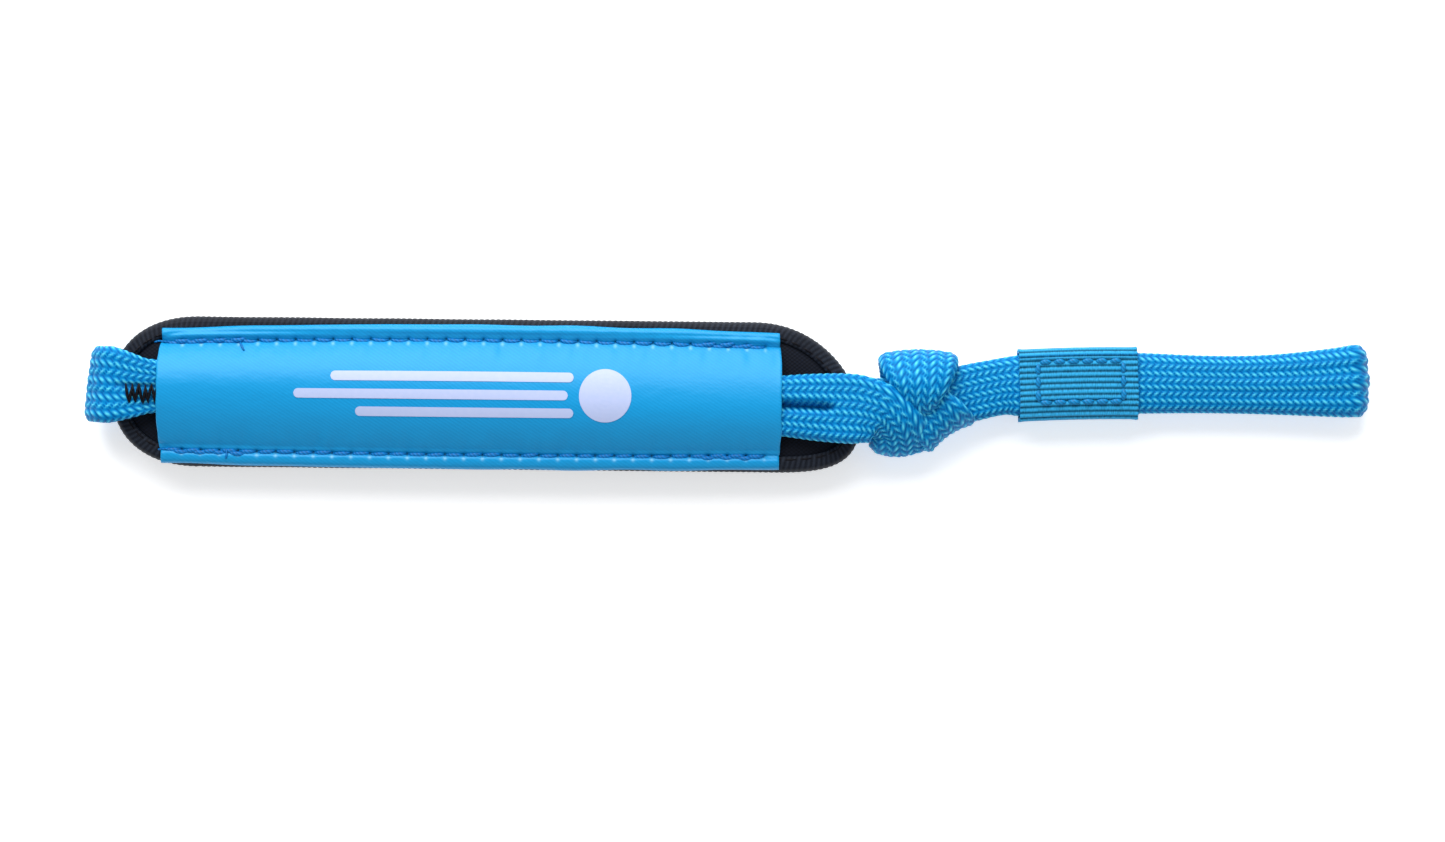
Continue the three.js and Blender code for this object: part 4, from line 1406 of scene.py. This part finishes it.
class STRAP_PG_cord(bpy.types.PropertyGroup):
    """The flat braided cord."""

    float_pitch: FloatProperty(
        name="Float pitch", description="Length of one float", default=0.00113, unit="LENGTH"
    )
    relief: FloatProperty(
        name="Relief", description="Height of the floats", default=0.00030, unit="LENGTH"
    )
    crown: FloatProperty(
        name="Crown", description="Rise of the braid's middle", default=0.00075, unit="LENGTH"
    )
    colour: FloatVectorProperty(
        name="Colour", description="Yarn colour", subtype="COLOR", default=(0.0, 0.252, 0.62)
    )


class STRAP_PG_cuff(bpy.types.PropertyGroup):
    """The padded cuff and its binding."""

    lip: FloatProperty(
        name="Lip", description="Width of the binding on the covers", default=0.0026, unit="LENGTH"
    )
    rib_pitch: FloatProperty(
        name="Ribs", description="Distance between the tape's ribs", default=0.0009, unit="LENGTH"
    )
    colour: FloatVectorProperty(
        name="Colour",
        description="Colour of the black cloth",
        subtype="COLOR",
        default=(0.0045, 0.0062, 0.012),
    )


class STRAP_PG_sleeve(bpy.types.PropertyGroup):
    """The satin sleeve, its seams and its print."""

    stitch_pitch: FloatProperty(
        name="Stitch", description="Length of a stitch", default=0.00303, unit="LENGTH"
    )
    film: FloatProperty(
        name="Film", description="Thickness of the print", default=0.00005, unit="LENGTH"
    )
    colour: FloatVectorProperty(
        name="Colour", description="Colour of the satin", subtype="COLOR", default=(0.0, 0.285, 0.64)
    )
    thread_colour: FloatVectorProperty(
        name="Thread", description="Colour of the thread", subtype="COLOR", default=(0.0, 0.155, 0.46)
    )
    print_colour: FloatVectorProperty(
        name="Print", description="Colour of the ink", subtype="COLOR", default=(0.50, 0.56, 0.82)
    )


class STRAP_PG_keeper(bpy.types.PropertyGroup):
    """The grosgrain keeper."""

    rib_pitch: FloatProperty(
        name="Ribs", description="Distance between ribs", default=0.00093, unit="LENGTH"
    )
    rib_height: FloatProperty(
        name="Rib height", description="Height of a rib", default=0.00024, unit="LENGTH"
    )
    colour: FloatVectorProperty(
        name="Colour", description="Colour of the ribbon", subtype="COLOR", default=(0.0, 0.20, 0.46)
    )
    thread_colour: FloatVectorProperty(
        name="Thread", description="Colour of the thread", subtype="COLOR", default=(0.004, 0.20, 0.47)
    )


class STRAP_PG_stage(bpy.types.PropertyGroup):
    """The floor, the lights and the camera."""

    key_power: FloatProperty(
        name="Key light", description="Light from behind", default=9.5, unit="POWER"
    )
    fill_power: FloatProperty(
        name="Fill light", description="Light from the front", default=0.4, unit="POWER"
    )
    floor_colour: FloatVectorProperty(
        name="Floor", description="Floor colour", subtype="COLOR", default=(0.93, 0.93, 0.93)
    )


def area_light(name, place, size, power):
    """A square light that faces the origin."""
    bpy.ops.object.light_add(type="AREA", location=place)
    light = bpy.context.object
    light.name = name
    light.data.size = size
    light.data.energy = power
    aim = -np.array(place, float)
    light.rotation_euler = (
        math.atan2(math.hypot(aim[0], aim[1]), -aim[2]),
        0.0,
        math.atan2(aim[1], aim[0]) - math.pi / 2,
    )


def make_stage(settings):
    """A long lens straight above, a pale floor and soft light from behind."""
    span = 0.2334  # width of the picture on the floor
    lens, sensor = 110.0, 36.0
    distance = span * lens / sensor + CAD_BOX[1][2] / 2
    middle = (-0.0009, -0.0043)
    bpy.ops.object.camera_add(location=(middle[0], middle[1], distance))
    camera = bpy.context.object
    camera.name = "camera"
    camera.data.lens = lens
    camera.data.sensor_width = sensor
    camera.data.clip_start = 0.01
    bpy.context.scene.camera = camera
    area_light("key light", (-0.12, 0.62, 0.50), 0.75, settings.key_power)
    area_light("fill light", (0.1, -0.5, 0.45), 0.7, settings.fill_power)
    world = bpy.data.worlds.new("soft room")
    world.use_nodes = True
    world.node_tree.nodes["Background"].inputs["Color"].default_value = (0.95, 0.97, 1.0, 1.0)
    world.node_tree.nodes["Background"].inputs["Strength"].default_value = 0.45
    bpy.context.scene.world = world
    bpy.ops.mesh.primitive_plane_add(size=6.0, location=(0, 0, -0.0002))
    floor = bpy.context.object
    floor.name = "floor"
    n = Nodes("pale floor")
    n.set(
        base_color=rgba(settings.floor_colour),
        roughness=0.9,
        specular_ior_level=0.1,
        emission_color=(1.0, 1.0, 1.0, 1.0),
        emission_strength=0.45,
    )
    floor.data.materials.append(n.material)
    bpy.context.scene.view_settings.view_transform = "Standard"


class STRAP_OT_stage(bpy.types.Operator):
    """Add the camera, the lights and the floor"""

    bl_idname = "strap.stage"
    bl_label = "Stage"

    def execute(self, context):
        make_stage(context.scene.strap_stage)
        return {"FINISHED"}


class STRAP_OT_cord(bpy.types.Operator):
    """Braid the cord, with its knot, wrist loop and racket loop"""

    bl_idname = "strap.cord"
    bl_label = "Braided cord"

    def execute(self, context):
        make_cord(context.scene.strap_cord)
        return {"FINISHED"}


class STRAP_OT_cuff(bpy.types.Operator):
    """Make the cuff's covers, foam and binding"""

    bl_idname = "strap.cuff"
    bl_label = "Padded cuff"

    def execute(self, context):
        make_cuff(context.scene.strap_cuff)
        return {"FINISHED"}


class STRAP_OT_binding_seam(bpy.types.Operator):
    """Sew the binding to the cuff"""

    bl_idname = "strap.binding_seam"
    bl_label = "Binding stitches"

    def execute(self, context):
        make_binding_seam()
        return {"FINISHED"}


class STRAP_OT_sleeve(bpy.types.Operator):
    """Make the satin ribbon over the cord"""

    bl_idname = "strap.sleeve"
    bl_label = "Satin sleeve"

    def execute(self, context):
        make_sleeve(context.scene.strap_sleeve)
        return {"FINISHED"}


class STRAP_OT_sleeve_seams(bpy.types.Operator):
    """Sew the sleeve to the cuff"""

    bl_idname = "strap.sleeve_seams"
    bl_label = "Sleeve seams"

    def execute(self, context):
        make_sleeve_seams(context.scene.strap_sleeve)
        return {"FINISHED"}


class STRAP_OT_ornament(bpy.types.Operator):
    """Print the ornament on the sleeve"""

    bl_idname = "strap.ornament"
    bl_label = "Printed ornament"

    def execute(self, context):
        make_print(context.scene.strap_sleeve)
        return {"FINISHED"}


class STRAP_OT_tack(bpy.types.Operator):
    """Sew the cord's two ends together"""

    bl_idname = "strap.tack"
    bl_label = "Join in the cord"

    def execute(self, context):
        make_tack()
        return {"FINISHED"}


class STRAP_OT_keeper(bpy.types.Operator):
    """Wrap the keeper round the racket loop"""

    bl_idname = "strap.keeper"
    bl_label = "Ribbon keeper"

    def execute(self, context):
        make_keeper(context.scene.strap_keeper)
        return {"FINISHED"}


class STRAP_OT_keeper_seam(bpy.types.Operator):
    """Sew the keeper's box of stitches"""

    bl_idname = "strap.keeper_seam"
    bl_label = "Keeper stitches"

    def execute(self, context):
        make_keeper_seam(context.scene.strap_keeper)
        return {"FINISHED"}


class STRAP_PT_panel(bpy.types.Panel):
    """The strap's sizes, colours and pieces"""

    bl_idname = "STRAP_PT_panel"
    bl_label = "Wrist strap"
    bl_space_type = "VIEW_3D"
    bl_region_type = "UI"
    bl_category = "Wrist strap"

    def draw(self, context):
        for name, group in SETTINGS.items():
            box = self.layout.box()
            box.label(text=group.__doc__)
            for key in group.__annotations__:
                box.prop(getattr(context.scene, name), key)
        for operator in OPERATORS:
            self.layout.operator(operator.bl_idname)


SETTINGS = {
    "strap_stage": STRAP_PG_stage,
    "strap_cord": STRAP_PG_cord,
    "strap_cuff": STRAP_PG_cuff,
    "strap_sleeve": STRAP_PG_sleeve,
    "strap_keeper": STRAP_PG_keeper,
}
OPERATORS = [
    STRAP_OT_stage,
    STRAP_OT_cord,
    STRAP_OT_tack,
    STRAP_OT_cuff,
    STRAP_OT_binding_seam,
    STRAP_OT_sleeve,
    STRAP_OT_sleeve_seams,
    STRAP_OT_ornament,
    STRAP_OT_keeper,
    STRAP_OT_keeper_seam,
]
CLASSES = [*SETTINGS.values(), *OPERATORS, STRAP_PT_panel]


def register():
    for item in CLASSES:
        bpy.utils.register_class(item)
    for name, group in SETTINGS.items():
        setattr(bpy.types.Scene, name, PointerProperty(type=group))


def unregister():
    for name in SETTINGS:
        delattr(bpy.types.Scene, name)
    for item in reversed(CLASSES):
        bpy.utils.unregister_class(item)


def main():
    register()
    for operator in OPERATORS:
        group, name = operator.bl_idname.split(".")
        getattr(getattr(bpy.ops, group), name)()


if __name__ == "__main__":
    main()
